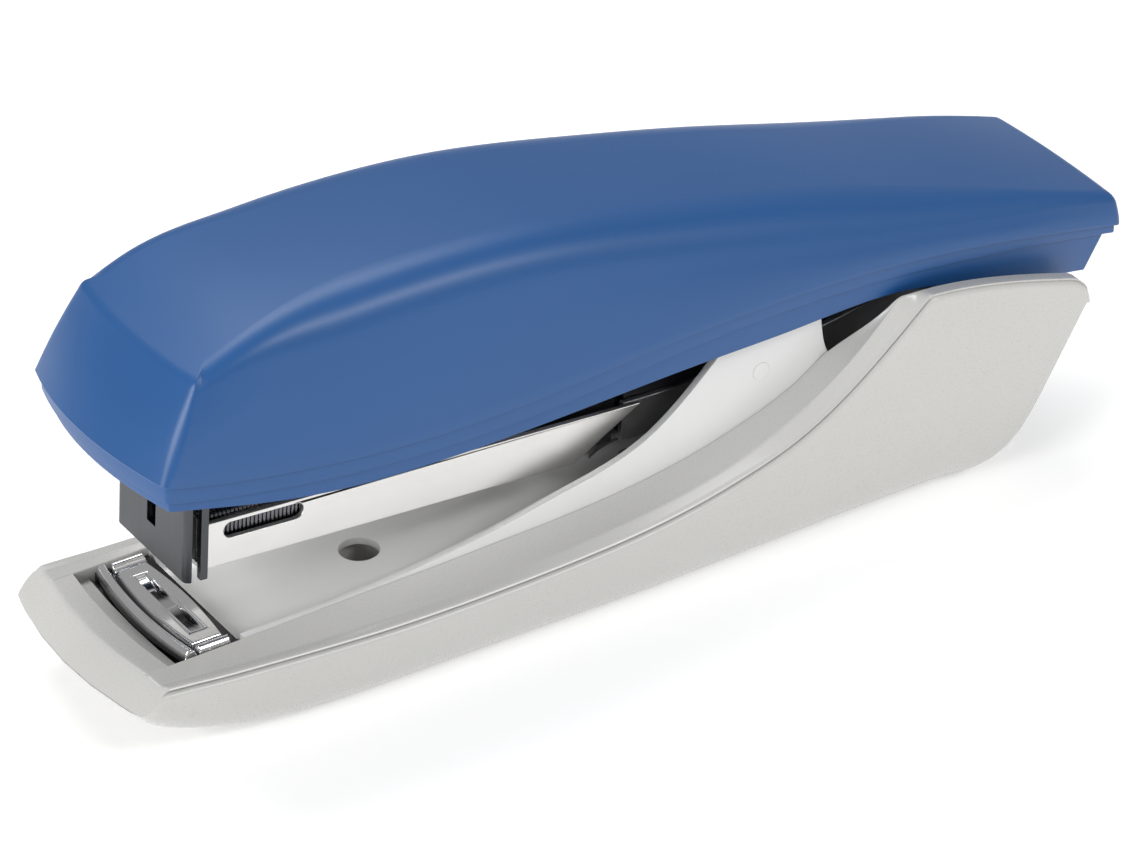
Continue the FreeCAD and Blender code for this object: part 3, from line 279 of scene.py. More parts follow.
def plastic(name, colour, roughness, grain, coat=0.0, speckle=0.04):
    """Moulded plastic: fine spark-eroded grain, faint flow shading, slightly uneven gloss."""
    material, nodes, links, shader, where = new_material(name)
    flow = noise(nodes, links, where, 45, 2.0, (0.5, 1, 1))
    fine = noise(nodes, links, where, 5200, 2.0)
    low = tuple(c * (1 - speckle) for c in colour)
    high = tuple(min(1.0, c * (1 + speckle)) for c in colour)
    links.new(ramp(nodes, links, flow, low, high), shader.inputs["Base Color"])
    links.new(spread(nodes, links, fine, roughness - 0.05, roughness + 0.06), shader.inputs["Roughness"])
    shader.inputs["IOR"].default_value = 1.5
    shader.inputs["Coat Weight"].default_value = coat
    shader.inputs["Coat Roughness"].default_value = 0.25
    bump(nodes, links, shader, [(fine, grain, 0.00002), (flow, 0.05, 0.0002)])
    return material


def metal(name, colour, roughness, brushed=(1, 1, 1), scratch=0.08, tarnish=0.1):
    """Sheet metal: drawn grain along one direction, patches of duller and brighter finish."""
    material, nodes, links, shader, where = new_material(name)
    patches = noise(nodes, links, where, 90, 3.0)
    lines = noise(nodes, links, where, 900, 4.0, brushed)
    low = tuple(c * (1 - tarnish) for c in colour)
    links.new(ramp(nodes, links, patches, low, colour), shader.inputs["Base Color"])
    links.new(spread(nodes, links, lines, roughness * 0.75, roughness * 1.3), shader.inputs["Roughness"])
    shader.inputs["Metallic"].default_value = 1.0
    bump(nodes, links, shader, [(lines, scratch, 0.00003)])
    return material


def stamped(name, colour, hollow_shade_colour, low, high):
    """Polished pressing with painted shade in its hollows: the colour darkens from high down to low, in
    metres.
    """
    material, nodes, links, shader, where = new_material(name)
    haze = noise(nodes, links, where, 700, 3.0)
    axes = nodes.new("ShaderNodeSeparateXYZ")
    span = nodes.new("ShaderNodeMapRange")
    span.inputs["From Min"].default_value = low
    span.inputs["From Max"].default_value = high
    links.new(where, axes.inputs["Vector"])
    links.new(axes.outputs["Z"], span.inputs["Value"])
    height = span.outputs["Result"]
    # painted shade: the colour darkens down into the hollows
    links.new(ramp(nodes, links, height, hollow_shade_colour, colour, 0.05, 0.95), shader.inputs["Base Color"])
    links.new(spread(nodes, links, haze, 0.06, 0.16), shader.inputs["Roughness"])
    shader.inputs["Metallic"].default_value = 1.0
    bump(nodes, links, shader, [(haze, 0.03, 0.00003)])
    return material


def painted(name, colour, roughness):
    """Baked enamel on sheet: a faint orange peel under a smooth coat."""
    material, nodes, links, shader, where = new_material(name)
    peel = noise(nodes, links, where, 900, 2.0)
    cloud = noise(nodes, links, where, 60, 3.0)
    low = tuple(c * 0.95 for c in colour)
    links.new(ramp(nodes, links, cloud, low, colour), shader.inputs["Base Color"])
    links.new(spread(nodes, links, peel, roughness - 0.04, roughness + 0.05), shader.inputs["Roughness"])
    shader.inputs["Metallic"].default_value = 0.05
    shader.inputs["Coat Weight"].default_value = 0.25
    shader.inputs["Coat Roughness"].default_value = 0.2
    bump(nodes, links, shader, [(peel, 0.12, 0.00004)])
    return material


def rubber(name, colour):
    material, nodes, links, shader, where = new_material(name)
    pores = noise(nodes, links, where, 3000, 4.0)
    dust = noise(nodes, links, where, 150, 4.0)
    low = tuple(c * 0.8 for c in colour)
    high = tuple(c * 1.5 for c in colour)
    links.new(ramp(nodes, links, dust, low, high), shader.inputs["Base Color"])
    links.new(spread(nodes, links, pores, 0.65, 0.9), shader.inputs["Roughness"])
    shader.inputs["Specular IOR Level"].default_value = 0.3
    bump(nodes, links, shader, [(pores, 0.35, 0.00006)])
    return material


ALONG = (0.05, 1, 1)
ACROSS = (1, 0.05, 1)
UPWARD = (1, 1, 0.05)
BASE_PLASTIC = plastic("base_plastic", (0.55, 0.545, 0.525), 0.28, 0.03, 0.2, 0.012)
COVER_PLASTIC = plastic("cover_plastic", (0.009, 0.078, 0.25), 0.42, 0.12, 0.06, 0.03)
BLACK_PLASTIC = plastic("black_plastic", (0.012, 0.013, 0.015), 0.5, 0.3, 0.0, 0.2)
DECK_PAINT = painted("deck_enamel", (0.78, 0.78, 0.77), 0.30)
# anvil chrome with painted shade that darkens its moat and clinch slot
CHROME = stamped("anvil_chrome", (0.86, 0.86, 0.87), (0.06, 0.06, 0.065), 0.01125, 0.0118)
CHANNEL_STEEL = metal("channel_steel", (0.80, 0.79, 0.77), 0.34, ALONG, 0.10, 0.05)
GUARD_STEEL = metal("guard_steel", (0.09, 0.093, 0.1), 0.30, UPWARD, 0.10, 0.15)
BRIGHT_STEEL = metal("bright_steel", (0.68, 0.68, 0.67), 0.24, ACROSS, 0.08, 0.1)
DARK_STEEL = metal("dark_steel", (0.16, 0.165, 0.175), 0.36, ALONG, 0.12, 0.25)
FRAME_STEEL = metal("frame_steel", (0.42, 0.42, 0.43), 0.42, ALONG, 0.10, 0.15)
SPRING_STEEL = metal("spring_steel", (0.42, 0.42, 0.43), 0.28, ALONG, 0.08, 0.2)
STAPLE_WIRE = metal("staple_wire", (0.14, 0.14, 0.15), 0.25, UPWARD, 0.06, 0.08)
PAD_RUBBER = rubber("pad_rubber", (0.02, 0.02, 0.022))

# ---------------------------------------------------------------- cover
CREASE_X = -3.2
RIDGE_HALF = run([(-3.2, 13.8), (5, 14.3), (15, 14.6), (28, 14.7), (45, 14.6),
                  (65, 14.3), (85, 14.0), (105, 13.7), (120, 13.3), (TAIL_X, 12.7)])
RIDGE_Z = run([(-3.2, 38.9), (5, 42.1), (15, 43.6), (28, 43.9), (45, 42.8),
               (65, 39.1), (85, 34.5), (105, 28.9), (120, 24.7), (TAIL_X, 20.6)])
LIP_HALF = run([(-9, 15.9), (-3.2, 16.1), (5, 16.5), (15, 17.0), (28, 17.2), (45, 17.2),
                (65, 17.0), (85, 16.3), (105, 15.4), (120, 14.6), (TAIL_X, 13.5)])
LIP_Z = run([(-14, 28.9), (-4.8, 26.6), (8.5, 24.5), (22, 23.3), (40, 23.2), (57, 24.4),
             (72, 24.9), (88, 24.4), (104, 22.6), (119, 19.9), (135.5, 15.9)])
STEP_Z = run([(-14, 26.4), (-4.4, 24.1), (8.5, 22.1), (22, 20.9), (44, 20.9), (65, 22.5),
              (80, 22.7), (96, 21.6), (108, 20.0), (119, 18.2), (135.5, 14.6)])
RIM_Z = run([(-14, 24.9), (-4, 22.5), (8, 20.0), (23, 18.6), (44, 18.6), (66, 19.2),
             (81, 19.1), (97, 18.7), (106, 16.8), (118, 13.6), (126, 11.3), (135.5, 9.4)])
COVER_WALL = 1.6
COVER_STEP = 0.65
CROWN = 0.45
INSIDE_TOP_INSET = 4.6
NOSE_STEPS = 14
CORNER_STEPS = 8
SIDE_STEPS = 120
FLANK_STEPS = 8
EDGE_STEPS = 10
TAIL_LEAN = 3.4
LEAN_START = 0.93
LEAN_SHARE = 0.07
NOSE_EDGE = 0.8
CORNER_EDGE = 2.4
SIDE_EDGE = 5.4
TAIL_EDGE = 1.5
NOSE_SWELL = 0.35
SIDE_SWELL = 0.3
BOSS_XS = (29.0, 62.0)
BOSS_RADIUS = 3.2
BOSS_BORE = 1.35
BOSS_SIDES = 32


class Outline:
    """A plan of the cover at one level: bowed nose, rounded corners, curved sides, square tail."""

    def __init__(self, half, nose_x, bow, nose_radius, tail_x, tail_radius):
        self.half = half
        self.nose_x = nose_x
        self.bow = bow
        self.nose_radius = nose_radius
        self.tail_x = tail_x
        self.tail_radius = tail_radius

    def point(self, kind, t, inset):
        radius = max(self.nose_radius - inset, 0.2)
        nose = self.nose_x + inset
        half = self.half(nose) - inset
        start = math.atan(2 * self.bow / half)
        corner_x = nose + radius * math.cos(start)
        corner_y = half - radius
        if kind == "nose":
            y_end = corner_y + radius * math.sin(start)
            return nose - self.bow * (1 - t * t), y_end * t
        if kind == "nose corner":
            angle = mix(start, math.pi / 2, t)
            return corner_x - radius * math.cos(angle), corner_y + radius * math.sin(angle)
        tail_radius = max(self.tail_radius - inset, 0.2)
        last_x = self.tail_x - inset - tail_radius
        last_y = self.half(last_x) - inset - tail_radius
        if kind == "side":
            x = mix(corner_x, last_x, t)
            fit = (half - self.half(corner_x) + inset) * (1 - ease(t * 12))
            return x, self.half(x) - inset + fit
        if kind == "tail corner":
            angle = t * math.pi / 2
            return last_x + tail_radius * math.sin(angle), last_y + tail_radius * math.cos(angle)
        return self.tail_x - inset, last_y * (1 - t)


LIP = Outline(LIP_HALF, -9.0, 2.3, 1.3, TAIL_X, 1.0)
RIDGE = Outline(RIDGE_HALF, CREASE_X, 0.9, 1.2, TAIL_X - 0.3, 1.0)


def half_ring():
    """Stations from the middle of the nose, round one side, to the middle of the tail."""
    ring = [("nose", i / NOSE_STEPS) for i in range(NOSE_STEPS)]
    ring += [("nose corner", i / CORNER_STEPS) for i in range(CORNER_STEPS)]
    ring += [("side", i / SIDE_STEPS) for i in range(SIDE_STEPS)]
    ring += [("tail corner", i / CORNER_STEPS) for i in range(CORNER_STEPS)]
    ring += [("tail", i / NOSE_STEPS) for i in range(NOSE_STEPS + 1)]
    return ring


def top_z(x, y):
    return RIDGE_Z(x) + CROWN * (1 - (y / RIDGE_HALF(x)) ** 2)


def edge_radius(kind, t):
    """How far the rounding of the top edge reaches: crisp at the nose, soft along the sides."""
    if kind == "nose":
        return NOSE_EDGE
    if kind == "nose corner":
        return mix(NOSE_EDGE, CORNER_EDGE, ease(2 * t - 1))
    if kind == "side":
        soft = mix(CORNER_EDGE, SIDE_EDGE, ease(t * 7))
        return mix(soft, TAIL_EDGE, ease((t - 0.72) / 0.28))
    return TAIL_EDGE


def lip_level(kind, t, inset, height, lean=0.0):
    """A point at an inset from the lip; height is a function of x, and lean pulls the tail in."""
    x, y = LIP.point(kind, t, inset)
    if kind.startswith("tail"):
        return x - lean, y, height(x - lean)
    if kind == "side":
        x -= lean * ease((t - LEAN_START) / LEAN_SHARE)
    return x, y, height(x)


def cover_column(kind, t):
    """One station of the cover's skin, from the inside, round the rim, to the top's edge."""
    step = COVER_STEP
    wall = 2 * step + COVER_WALL

    def raised(height, up):
        return lambda x: height(x) + up

    column = []
    x, y = RIDGE.point(kind, t, INSIDE_TOP_INSET)
    column.append((x, y, top_z(x, y) - COVER_WALL))
    x, y = RIDGE.point(kind, t, COVER_WALL + 0.6)
    inner_top = (x, y, top_z(x, y) - COVER_WALL - 0.7)
    column.append(inner_top)
    inner_low = lip_level(kind, t, wall, raised(LIP_Z, 0.4))
    column.append(between(inner_top, inner_low, 0.5))
    column.append(inner_low)
    column.append(lip_level(kind, t, wall, raised(RIM_Z, 0.35), TAIL_LEAN))
    rim = [(wall - 0.08, 0.08), (wall - 0.3, 0.0), (2 * step + 0.3, 0.0),
           (2 * step + 0.08, 0.08), (2 * step, 0.32)]
    column += [lip_level(kind, t, inset, raised(RIM_Z, up), TAIL_LEAN) for inset, up in rim]
    column.append(lip_level(kind, t, 2 * step, raised(STEP_Z, -0.06), 0.2 * TAIL_LEAN))
    second = [(2 * step - 0.06, 0.0), (step + 0.22, 0.0), (step + 0.06, 0.07), (step, 0.25)]
    column += [lip_level(kind, t, inset, raised(STEP_Z, up)) for inset, up in second]
    column.append(lip_level(kind, t, step, raised(LIP_Z, -0.06)))
    first = [(step - 0.06, 0.0), (0.22, 0.0), (0.06, 0.07), (0.0, 0.25)]
    column += [lip_level(kind, t, inset, raised(LIP_Z, up)) for inset, up in first]
    return column + flank_and_edge(kind, t, column[-1])


def flank_and_edge(kind, t, foot):
    """The flank from the lip up, then the rounding into the top."""
    x, y = RIDGE.point(kind, t, 0.0)
    ridge = (x, y, top_z(x, y))
    height = ridge[2] - foot[2]
    reach = edge_radius(kind, t)
    down = min(reach, 0.62 * height)
    swell = NOSE_SWELL if kind.startswith("nose") else SIDE_SWELL * min(1.0, height / 12)
    start = between(ridge, foot, down / (Vector(ridge) - Vector(foot)).length)
    side = {"nose": 0.0, "nose corner": t, "side": 1.0, "tail corner": 1 - t, "tail": 0.0}[kind]
    along = 1 - side if kind.startswith("nose") else side - 1
    rows = []
    for i in range(1, FLANK_STEPS + 1):
        share = i / FLANK_STEPS
        px, py, pz = between(foot, start, share)
        out = swell * math.sin(math.pi * share)
        rows.append((px - out * along, py + out * side, pz))
    inside_x, inside_y = RIDGE.point(kind, t, reach)
    end = (inside_x, inside_y, top_z(inside_x, inside_y))
    rows += [bezier(start, ridge, end, i / EDGE_STEPS) for i in range(1, EDGE_STEPS + 1)]
    return rows


def full_ring(columns):
    """Half a ring of columns and its mirror image, as one closed ring."""
    mirrored = [[(x, -y, z) for x, y, z in column] for column in columns[1:-1]]
    return columns + mirrored[::-1]


def cap_points(loop, height):
    """A grid that fills a closed loop of the cover, its heights given by height(x, y)."""
    total = len(loop)
    corner = NOSE_STEPS + CORNER_STEPS // 2
    far = total // 2 - corner
    nose = [loop[(corner - i) % total] for i in range(2 * corner + 1)]
    tail = [loop[far + i] for i in range(2 * corner + 1)]
    side = [loop[corner + i] for i in range(far - corner + 1)]
    other = [loop[(-corner - i) % total] for i in range(far - corner + 1)]
    rows = len(side)
    columns = len(nose)
    points = []
    for r in range(rows):
        u = (side[r][0] - side[0][0]) / (side[-1][0] - side[0][0])
        for c in range(columns):
            v = (nose[c][1] - nose[0][1]) / (nose[-1][1] - nose[0][1])
            if r in (0, rows - 1) or c in (0, columns - 1):
                known = {0: side[r], columns - 1: other[r]}.get(c)
                points.append(known or (nose[c] if r == 0 else tail[c]))
                continue
            x = mix(nose[c][0], tail[c][0], u) + mix(side[r][0], other[r][0], v)
            x -= mix(mix(side[0][0], side[-1][0], u), mix(other[0][0], other[-1][0], u), v)
            y = mix(side[r][1], other[r][1], v)
            y += (tail[c][1] - mix(tail[0][1], tail[-1][1], v)) * u**8
            points.append((x, y, height(x, y)))
    return points, grid_faces(rows, columns)


def screw_boss(x):
    """A hollow post under the cover's top that takes a screw from the cover frame."""
    foot = 35.45 - 0.2066 * max(0.0, x - 42)
    top = RIDGE_Z(x) - 1.2
    rows = [(BOSS_BORE, foot + 5), (BOSS_BORE, foot + 0.7), (BOSS_RADIUS - 0.3, foot + 0.7),
            (BOSS_RADIUS, foot + 1), (BOSS_RADIUS, top)]
    points = []
    for radius, z in rows:
        for k in range(BOSS_SIDES):
            angle = 2 * math.pi * k / BOSS_SIDES
            points.append((x + radius * math.cos(angle), radius * math.sin(angle), z))
    faces = grid_faces(len(rows), BOSS_SIDES, 0, True)
    faces.append(tuple(range(BOSS_SIDES)))
    faces.append(tuple(range((len(rows) - 1) * BOSS_SIDES, len(rows) * BOSS_SIDES)))
    return points, faces


def make_cover():
    ring = full_ring([cover_column(kind, t) for kind, t in half_ring()])
    height = len(ring[0])
    skin = [ring[c][r] for r in range(height) for c in range(len(ring))]
    outside = cap_points([column[-1] for column in ring], top_z)
    inside = cap_points([column[0] for column in ring], lambda x, y: top_z(x, y) - COVER_WALL)
    skin_part = (skin, grid_faces(height, len(ring), 0, True))
    bosses = [screw_boss(x) for x in BOSS_XS]
    points, faces = joined([skin_part, outside, inside] + bosses)
    cover = piece_from("cover_skin", points, faces, COVER_PLASTIC, 32)
    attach(cover, "cover")
    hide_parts("top_cover")


make_cover()

# ---------------------------------------------------------------- base
WALL_INNER = 15.6
DECK_SEAT = 11.62
RECESS_X = -8.2
RECESS_STEP_X = -5.7
DECK_FRONT_X = 3.2
DECK_BACK_X = 116.0
CAVITY_X = 88.0
FLOOR_END_X = 118.4
BACK_X = 124.9
PLATE_FRONT_X = 12.0
PLATE_BACK_X = 104.0
PLATE_HALF = 12.0
UNDERSIDE = -11.75
POCKET_TOP = -10.23
DECK_HOLE_X = 26.2
DECK_HOLE_RADIUS = 3.7
RECESS_FLOOR = -1.5
ANVIL_BED = -2.4
DECK_BED = -3.12
RAKE_X = 117.6
RAKE_Z = -2.6
RAKE_SLOPE = 1.7
RAKE_ROUNDING = 10
TOE_Z = -3.05
TOE_SLOPE = 0.84
TOE_ROUNDING = 0.22
TOE_CORNER_LENGTH = 2.4
TOE_CORNER_DEPTH = 0.9
TOE_BOW = 2.3
BASE_HALF_MOST = 17.8
WALL_CORNER_X = 122.2
WALL_LAST_X = 123.7
WALL_CORNER = 2.9
# In a half section: the place of the wall's inner corner, and the points of the underside.
SHELF_POINT = 4
POINTS_BELOW = 5
BASE_HALF = run([(-12, 16.2), (22, 17.27), (64, 17.75), (90, 17.8), (130, 17.8)])
BAND_Z = run([(-15, 0), (-8, 0), (3, 0.1), (14, 0.3), (22, 0.45), (31, 0.55), (39, 0.8), (48, 1.1),
              (54, 1.5), (61, 2.3), (69, 3.8), (76, 5.8), (84, 9.2), (90, 13.8), (96, 19.4)])
RIM_EDGE_Z = run([(-11, -0.25), (-1, -0.8), (8, -1.3), (22, -1.7), (35, -1.5), (45, -0.9), (52, -0.3),
                  (59, 0.6), (66, 1.9), (74, 4.2), (81, 7.3), (90, 13.4), (96, 19.2)])
GROOVE_Z = run([(-11, -0.6), (-2, -1.2), (8, -1.8), (21, -2.4), (34, -2.4), (44, -2.1), (50, -1.8),
                (58, -1.1), (65, 0.0), (73, 1.9), (80, 4.3), (89, 9.7), (95, 14.5), (100.3, 19.1)])
WALL_TOP_Z = run([(92, 19.2), (101.3, 18.8), (110.8, 17.2), (120.4, 14.6), (123.7, 13.6)])
UNDER_Z = run([(-15.1, -3.2), (-14, -4.5), (-5.7, -9.0), (8, -11.4), (24, UNDERSIDE), (60, UNDERSIDE)])


def wall_top(x):
    """Top of the rear walls, rounded down at their back corner."""
    last = max(0.0, (x - WALL_CORNER_X) / (BACK_X - WALL_CORNER_X))
    drop = WALL_CORNER * (1 - math.sqrt(max(0.0, 1 - last * last)))
    return WALL_TOP_Z(min(x, WALL_LAST_X)) - drop


def underside(x):
    """Lowest line of the base: bowed up at the toe, flat, then raked up at the back."""
    if x < 60:
        return UNDER_Z(x)
    raked = RAKE_Z + (x - RAKE_X) * RAKE_SLOPE
    return -lower_of(-UNDERSIDE, -raked, RAKE_ROUNDING)


def toe_limit(z, x):
    """Cuts a height by the toe's sloping front face."""
    return lower_of(z, TOE_Z + (x - TOE_X) * TOE_SLOPE, TOE_ROUNDING)


def base_half_width(x):
    half = min(BASE_HALF(x), BASE_HALF_MOST)
    corner = (x - TOE_X) / TOE_CORNER_LENGTH
    if corner < 1:
        half -= TOE_CORNER_DEPTH * (1 - math.sqrt(max(0.0, 1 - (1 - corner) ** 2)))
    return half


def floor_z(x):
    if x < RECESS_X:
        return 0.0
    if x < DECK_FRONT_X:
        return RECESS_FLOOR if x < RECESS_STEP_X else ANVIL_BED
    return DECK_BED if x < DECK_BACK_X else 0.0


def base_section(x):
    """Half a section of the base at x, as (y, z) from the middle of the floor to the underside."""
    half = base_half_width(x)
    inner = mix(DECK_SEAT, WALL_INNER, ease((x - 86) / 10))
    top = wall_top(x) if x > 92 else 30.0
    band = lower_of(BAND_Z(x), top, 0.8)
    rim = lower_of(RIM_EDGE_Z(x), top, 0.9)
    groove = lower_of(GROOVE_Z(x), top - 0.1, 0.5)
    under = underside(x)
    floor = max(floor_z(x), under)
    shelf = max(0.0, under) if x > CAVITY_X else band - 0.36
    shelf = max(shelf, floor)
    deep = 0.5 * min(1.0, max(0.0, (top - groove - 0.1) / 1.2)) * ease((x - TOE_X - 2.5) / 2)
    low = min(groove - 1.1, rim - 0.2)
    low = max(low, under + 0.15 * (rim - under))
    rounding = mix(mix(4.6, 6.0, ease((x - 55) / 40)), 1.2, ease((x - 104) / 12))
    rounding = min(rounding, 0.75 * (low - under))
    rim_y = max(half - 2.0, inner + 0.15)
    points = [(0, floor), (6, floor), (DECK_SEAT, floor), (DECK_SEAT, shelf), (inner, shelf)]
    points += [(inner, max(shelf, band - 0.3)), (inner + 0.04, band - 0.08), (inner + 0.14, band)]
    for share in (0.25, 0.5, 0.75, 0.94):
        sag = 0.22 * math.sin(math.pi * share) * ease((x - 10) / 20) * ease((98 - x) / 10)
        points.append((mix(inner + 0.14, rim_y, share), mix(band, rim, share) - sag))
    points += [(rim_y, rim), (rim_y + 0.1, rim - 0.04)]
    for share in (0.2, 0.5, 0.8):
        points.append((mix(rim_y + 0.1, half - 0.75, share), mix(rim - 0.04, groove + 0.5, share)))
    points += [(half - 0.72, groove + 0.46), (half - 0.52, groove + 0.33), (half - 0.42, groove + 0.16)]
    points += [(half - 0.42 - deep, groove + 0.08), (half - 0.42 - deep, groove - 0.16)]
    points += [(half - 0.55, groove - 0.2), (half - 0.3, groove - 0.28), (half - 0.11, groove - 0.47)]
    points += [(half - 0.02, mix(groove - 0.47, low, 0.45)), (half, low)]
    foot = under + rounding
    points += [(half, mix(low, foot, s)) for s in (0.25, 0.5, 0.75, 1.0)]
    for i in range(1, 9):
        angle = math.pi / 2 * i / 8
        points.append((half - rounding * (1 - math.cos(angle)), foot - rounding * math.sin(angle)))
    points += [(min(WALL_INNER, half - rounding), under), (PLATE_HALF, under)]
    raised = POCKET_TOP if PLATE_FRONT_X < x < PLATE_BACK_X else under
    points += [(PLATE_HALF - 0.02, raised), (6, raised), (0, raised)]
    if x < RECESS_X:
        return [(y, max(toe_limit(z, x), under) - 0.001 * i) for i, (y, z) in enumerate(points)]
    if x < CAVITY_X:
        return points
    highest = max(top, under + 0.5)
    return [(y, min(max(z, under), highest)) for y, z in points]


def spaced(start, end, step):
    count = max(1, round((end - start) / step))
    return [mix(start, end, i / count) for i in range(count)]


def base_stations():
    behind_toe = (0.0, 0.04, 0.15, 0.35, 0.6, 0.95, 1.4, 1.9, 2.4, 2.9, 3.2, 3.45, 3.7, 4.0)
    stations = [TOE_X + d for d in behind_toe]
    stations += spaced(-10.8, RECESS_X, 0.8)
    stations += [RECESS_X - 0.01, RECESS_X] + spaced(-7.9, RECESS_STEP_X, 0.7)
    stations += [RECESS_STEP_X - 0.01, RECESS_STEP_X] + spaced(-4.9, DECK_FRONT_X, 1.0)
    stations += [DECK_FRONT_X - 0.01]
    stations += [DECK_FRONT_X] + spaced(4.0, PLATE_FRONT_X, 1.4)
    stations += [PLATE_FRONT_X, PLATE_FRONT_X + 0.01] + spaced(13.4, 60, 1.5) + spaced(60, 84, 0.9)
    stations += spaced(84, CAVITY_X, 0.5) + [CAVITY_X, CAVITY_X + 0.01]
    stations += spaced(88.5, PLATE_BACK_X, 0.4) + [PLATE_BACK_X - 0.01, PLATE_BACK_X]
    stations += spaced(104.8, DECK_BACK_X, 0.9) + [DECK_BACK_X - 0.01, DECK_BACK_X]
    stations += spaced(116.5, FLOOR_END_X, 0.6) + [FLOOR_END_X]
    return stations


def bowed(x, y, z):
    """Bends the toe into its bow."""
    return x + TOE_BOW * (y / 16.2) ** 2 * (1 - ease((x - TOE_X - 3.0) / 12)), y, z


def make_base():
    stations = base_stations()
    half_sections = [base_section(x) for x in stations]
    count = len(half_sections[0])
    rows = []
    for x, half in zip(stations, half_sections):
        whole = half + [(-y, z) for y, z in half[::-1]]
        rows.append([bowed(x, y, z) for y, z in whole])
    points = [p for row in rows for p in row]
    faces = grid_faces(len(rows), 2 * count, 0, True)
    faces.append(tuple(range(2 * count)))
    last = (len(rows) - 1) * 2 * count
    under = count - POINTS_BELOW
    near_floor = list(range(SHELF_POINT, -1, -1))
    far_floor = list(range(2 * count - 1, 2 * count - 2 - SHELF_POINT, -1))
    below = list(range(2 * count - 1 - under, under - 1, -1))
    faces.append(tuple(last + i for i in near_floor + far_floor + below))
    walls = [rear_wall(side, SHELF_POINT, under) for side in (1, -1)]
    points, faces = joined([(points, faces)] + walls)
    base = piece_from("base_skin", points, faces, BASE_PLASTIC, 38)
    pierce(base, DECK_HOLE_X, DECK_HOLE_RADIUS, POCKET_TOP - 0.5, -2.0)
    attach(base, "base")
    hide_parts("base_shell")


def rear_wall(side, first, last):
    """The stretch of a side wall behind the end of the floor."""
    steps = 26
    rows = []
    for i in range(steps + 1):
        x = mix(FLOOR_END_X, BACK_X, math.sin(math.pi / 2 * i / steps))
        section = base_section(x)[first : last + 1]
        rows.append([(x, side * y, z) for y, z in section])
    width = len(rows[0])
    points = [p for row in rows for p in row]
    faces = grid_faces(len(rows), width, 0, True)
    faces.append(tuple(range(steps * width, (steps + 1) * width)))
    return points, faces


make_base()

# ---------------------------------------------------------------- deck
CHEEK_Z = run([(3.2, 0.1), (14, 0.3), (22, 0.6), (32, 1.6), (40, 2.8), (48, 4.4), (55, 5.8), (61, 8.0),
               (66, 11.4), (71.5, 16.4), (76.5, 22.0)])
CHEEK_INNER = 10.6
DECK_Z = -2.1
FILLET_END_X = 84
FILLET_REACH = 4.4
FILLET_RISE = 4.6
FILLET_STEPS = 12


def deck_fillet(side):
    """The hollow rounding between the deck's floor and one upturned cheek."""
    rows = []
    corner = CHEEK_INNER + 0.02
    for x in spaced(DECK_FRONT_X + 0.02, FILLET_END_X, 1.2) + [FILLET_END_X]:
        rise = min(CHEEK_Z(min(x, 76)) - DECK_Z - 0.12, FILLET_RISE)
        row = [(corner, DECK_Z - 0.03)]
        for i in range(FILLET_STEPS + 1):
            angle = math.pi / 2 * i / FILLET_STEPS
            y = corner - FILLET_REACH * (1 - math.sin(angle))
            row.append((y, DECK_Z + rise * (1 - math.cos(angle))))
        rows.append([(x, side * y, z) for y, z in row])
    width = len(rows[0])
    points = [p for row in rows for p in row]
    faces = grid_faces(len(rows), width, 0, True)
    faces.append(tuple(range(width)))
    faces.append(tuple(range((len(rows) - 1) * width, len(rows) * width)))
    return points, faces


def make_deck_fillets():
    points, faces = joined([deck_fillet(1), deck_fillet(-1)])
    fillets = piece_from("deck_fillets", points, faces, DECK_PAINT, 40)
    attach(fillets, "base")


make_deck_fillets()

# ---------------------------------------------------------------- anvil
ANVIL_FRONT_X = -5.6
ANVIL_BACK_X = 2.9
ANVIL_HALF = 11.3
ANVIL_FOOT_Z = -2.38
ANVIL_ROWS = 132
ANVIL_COLUMNS = 220
PAD_Z = -0.05
MOAT_Z = -0.75
BAR_RADIUS = 0.9
CLINCH_X = -0.55
CLINCH_HALF_LENGTH = 0.85
CLINCH_HALF = 6.9


def bead(distance, radius, height):
    """Height of a rounded bar at a distance from its axis."""
    share = min(abs(distance) / radius, 1.0)
    return height * (1 - share * share)


def anvil_front(y):
    """The anvil's front edge, bowed like the toe."""
    return ANVIL_FRONT_X + 1.1 * (y / ANVIL_HALF) ** 2


def anvil_height(x, y):
    """The pressed top of the anvil: a pad with a clinch slot, a moat and a bar round its front."""
    back = 1.5 + 1.0 * (1 - (y / ANVIL_HALF) ** 2)
    from_front = x - anvil_front(y)
    from_side = ANVIL_HALF - abs(y)
    pad = ease((from_front - 2.0) / 0.6) * ease((back - x) / 0.5) * ease((from_side - 1.8) / 0.5)
    z = mix(MOAT_Z, PAD_Z, pad)
    front_bar = bead(from_front - BAR_RADIUS, BAR_RADIUS, 1.25) * ease((from_side - 0.1) / 0.4)
    z = max(z, MOAT_Z + front_bar)
    side_bar = bead(from_side - BAR_RADIUS, BAR_RADIUS, 1.15)
    side_bar = side_bar * ease((from_front - 1.9) / 0.3) * ease((back - x + 0.3) / 0.3)
    z = max(z, MOAT_Z + side_bar)
    slot_x = abs(x - CLINCH_X) - CLINCH_HALF_LENGTH
    slot_y = abs(y) - CLINCH_HALF
    edge = max(slot_x, slot_y)
    border = bead(edge - 0.24, 0.26, 0.14)
    if edge < 0.05:
        valley = 0.35 + 0.3 * math.cos(math.pi * min(1.0, abs(abs(y) - 3.6) / 3.3))
        z -= (valley + 0.25) * ease(-edge / 0.3 + 0.17)
    return z + border


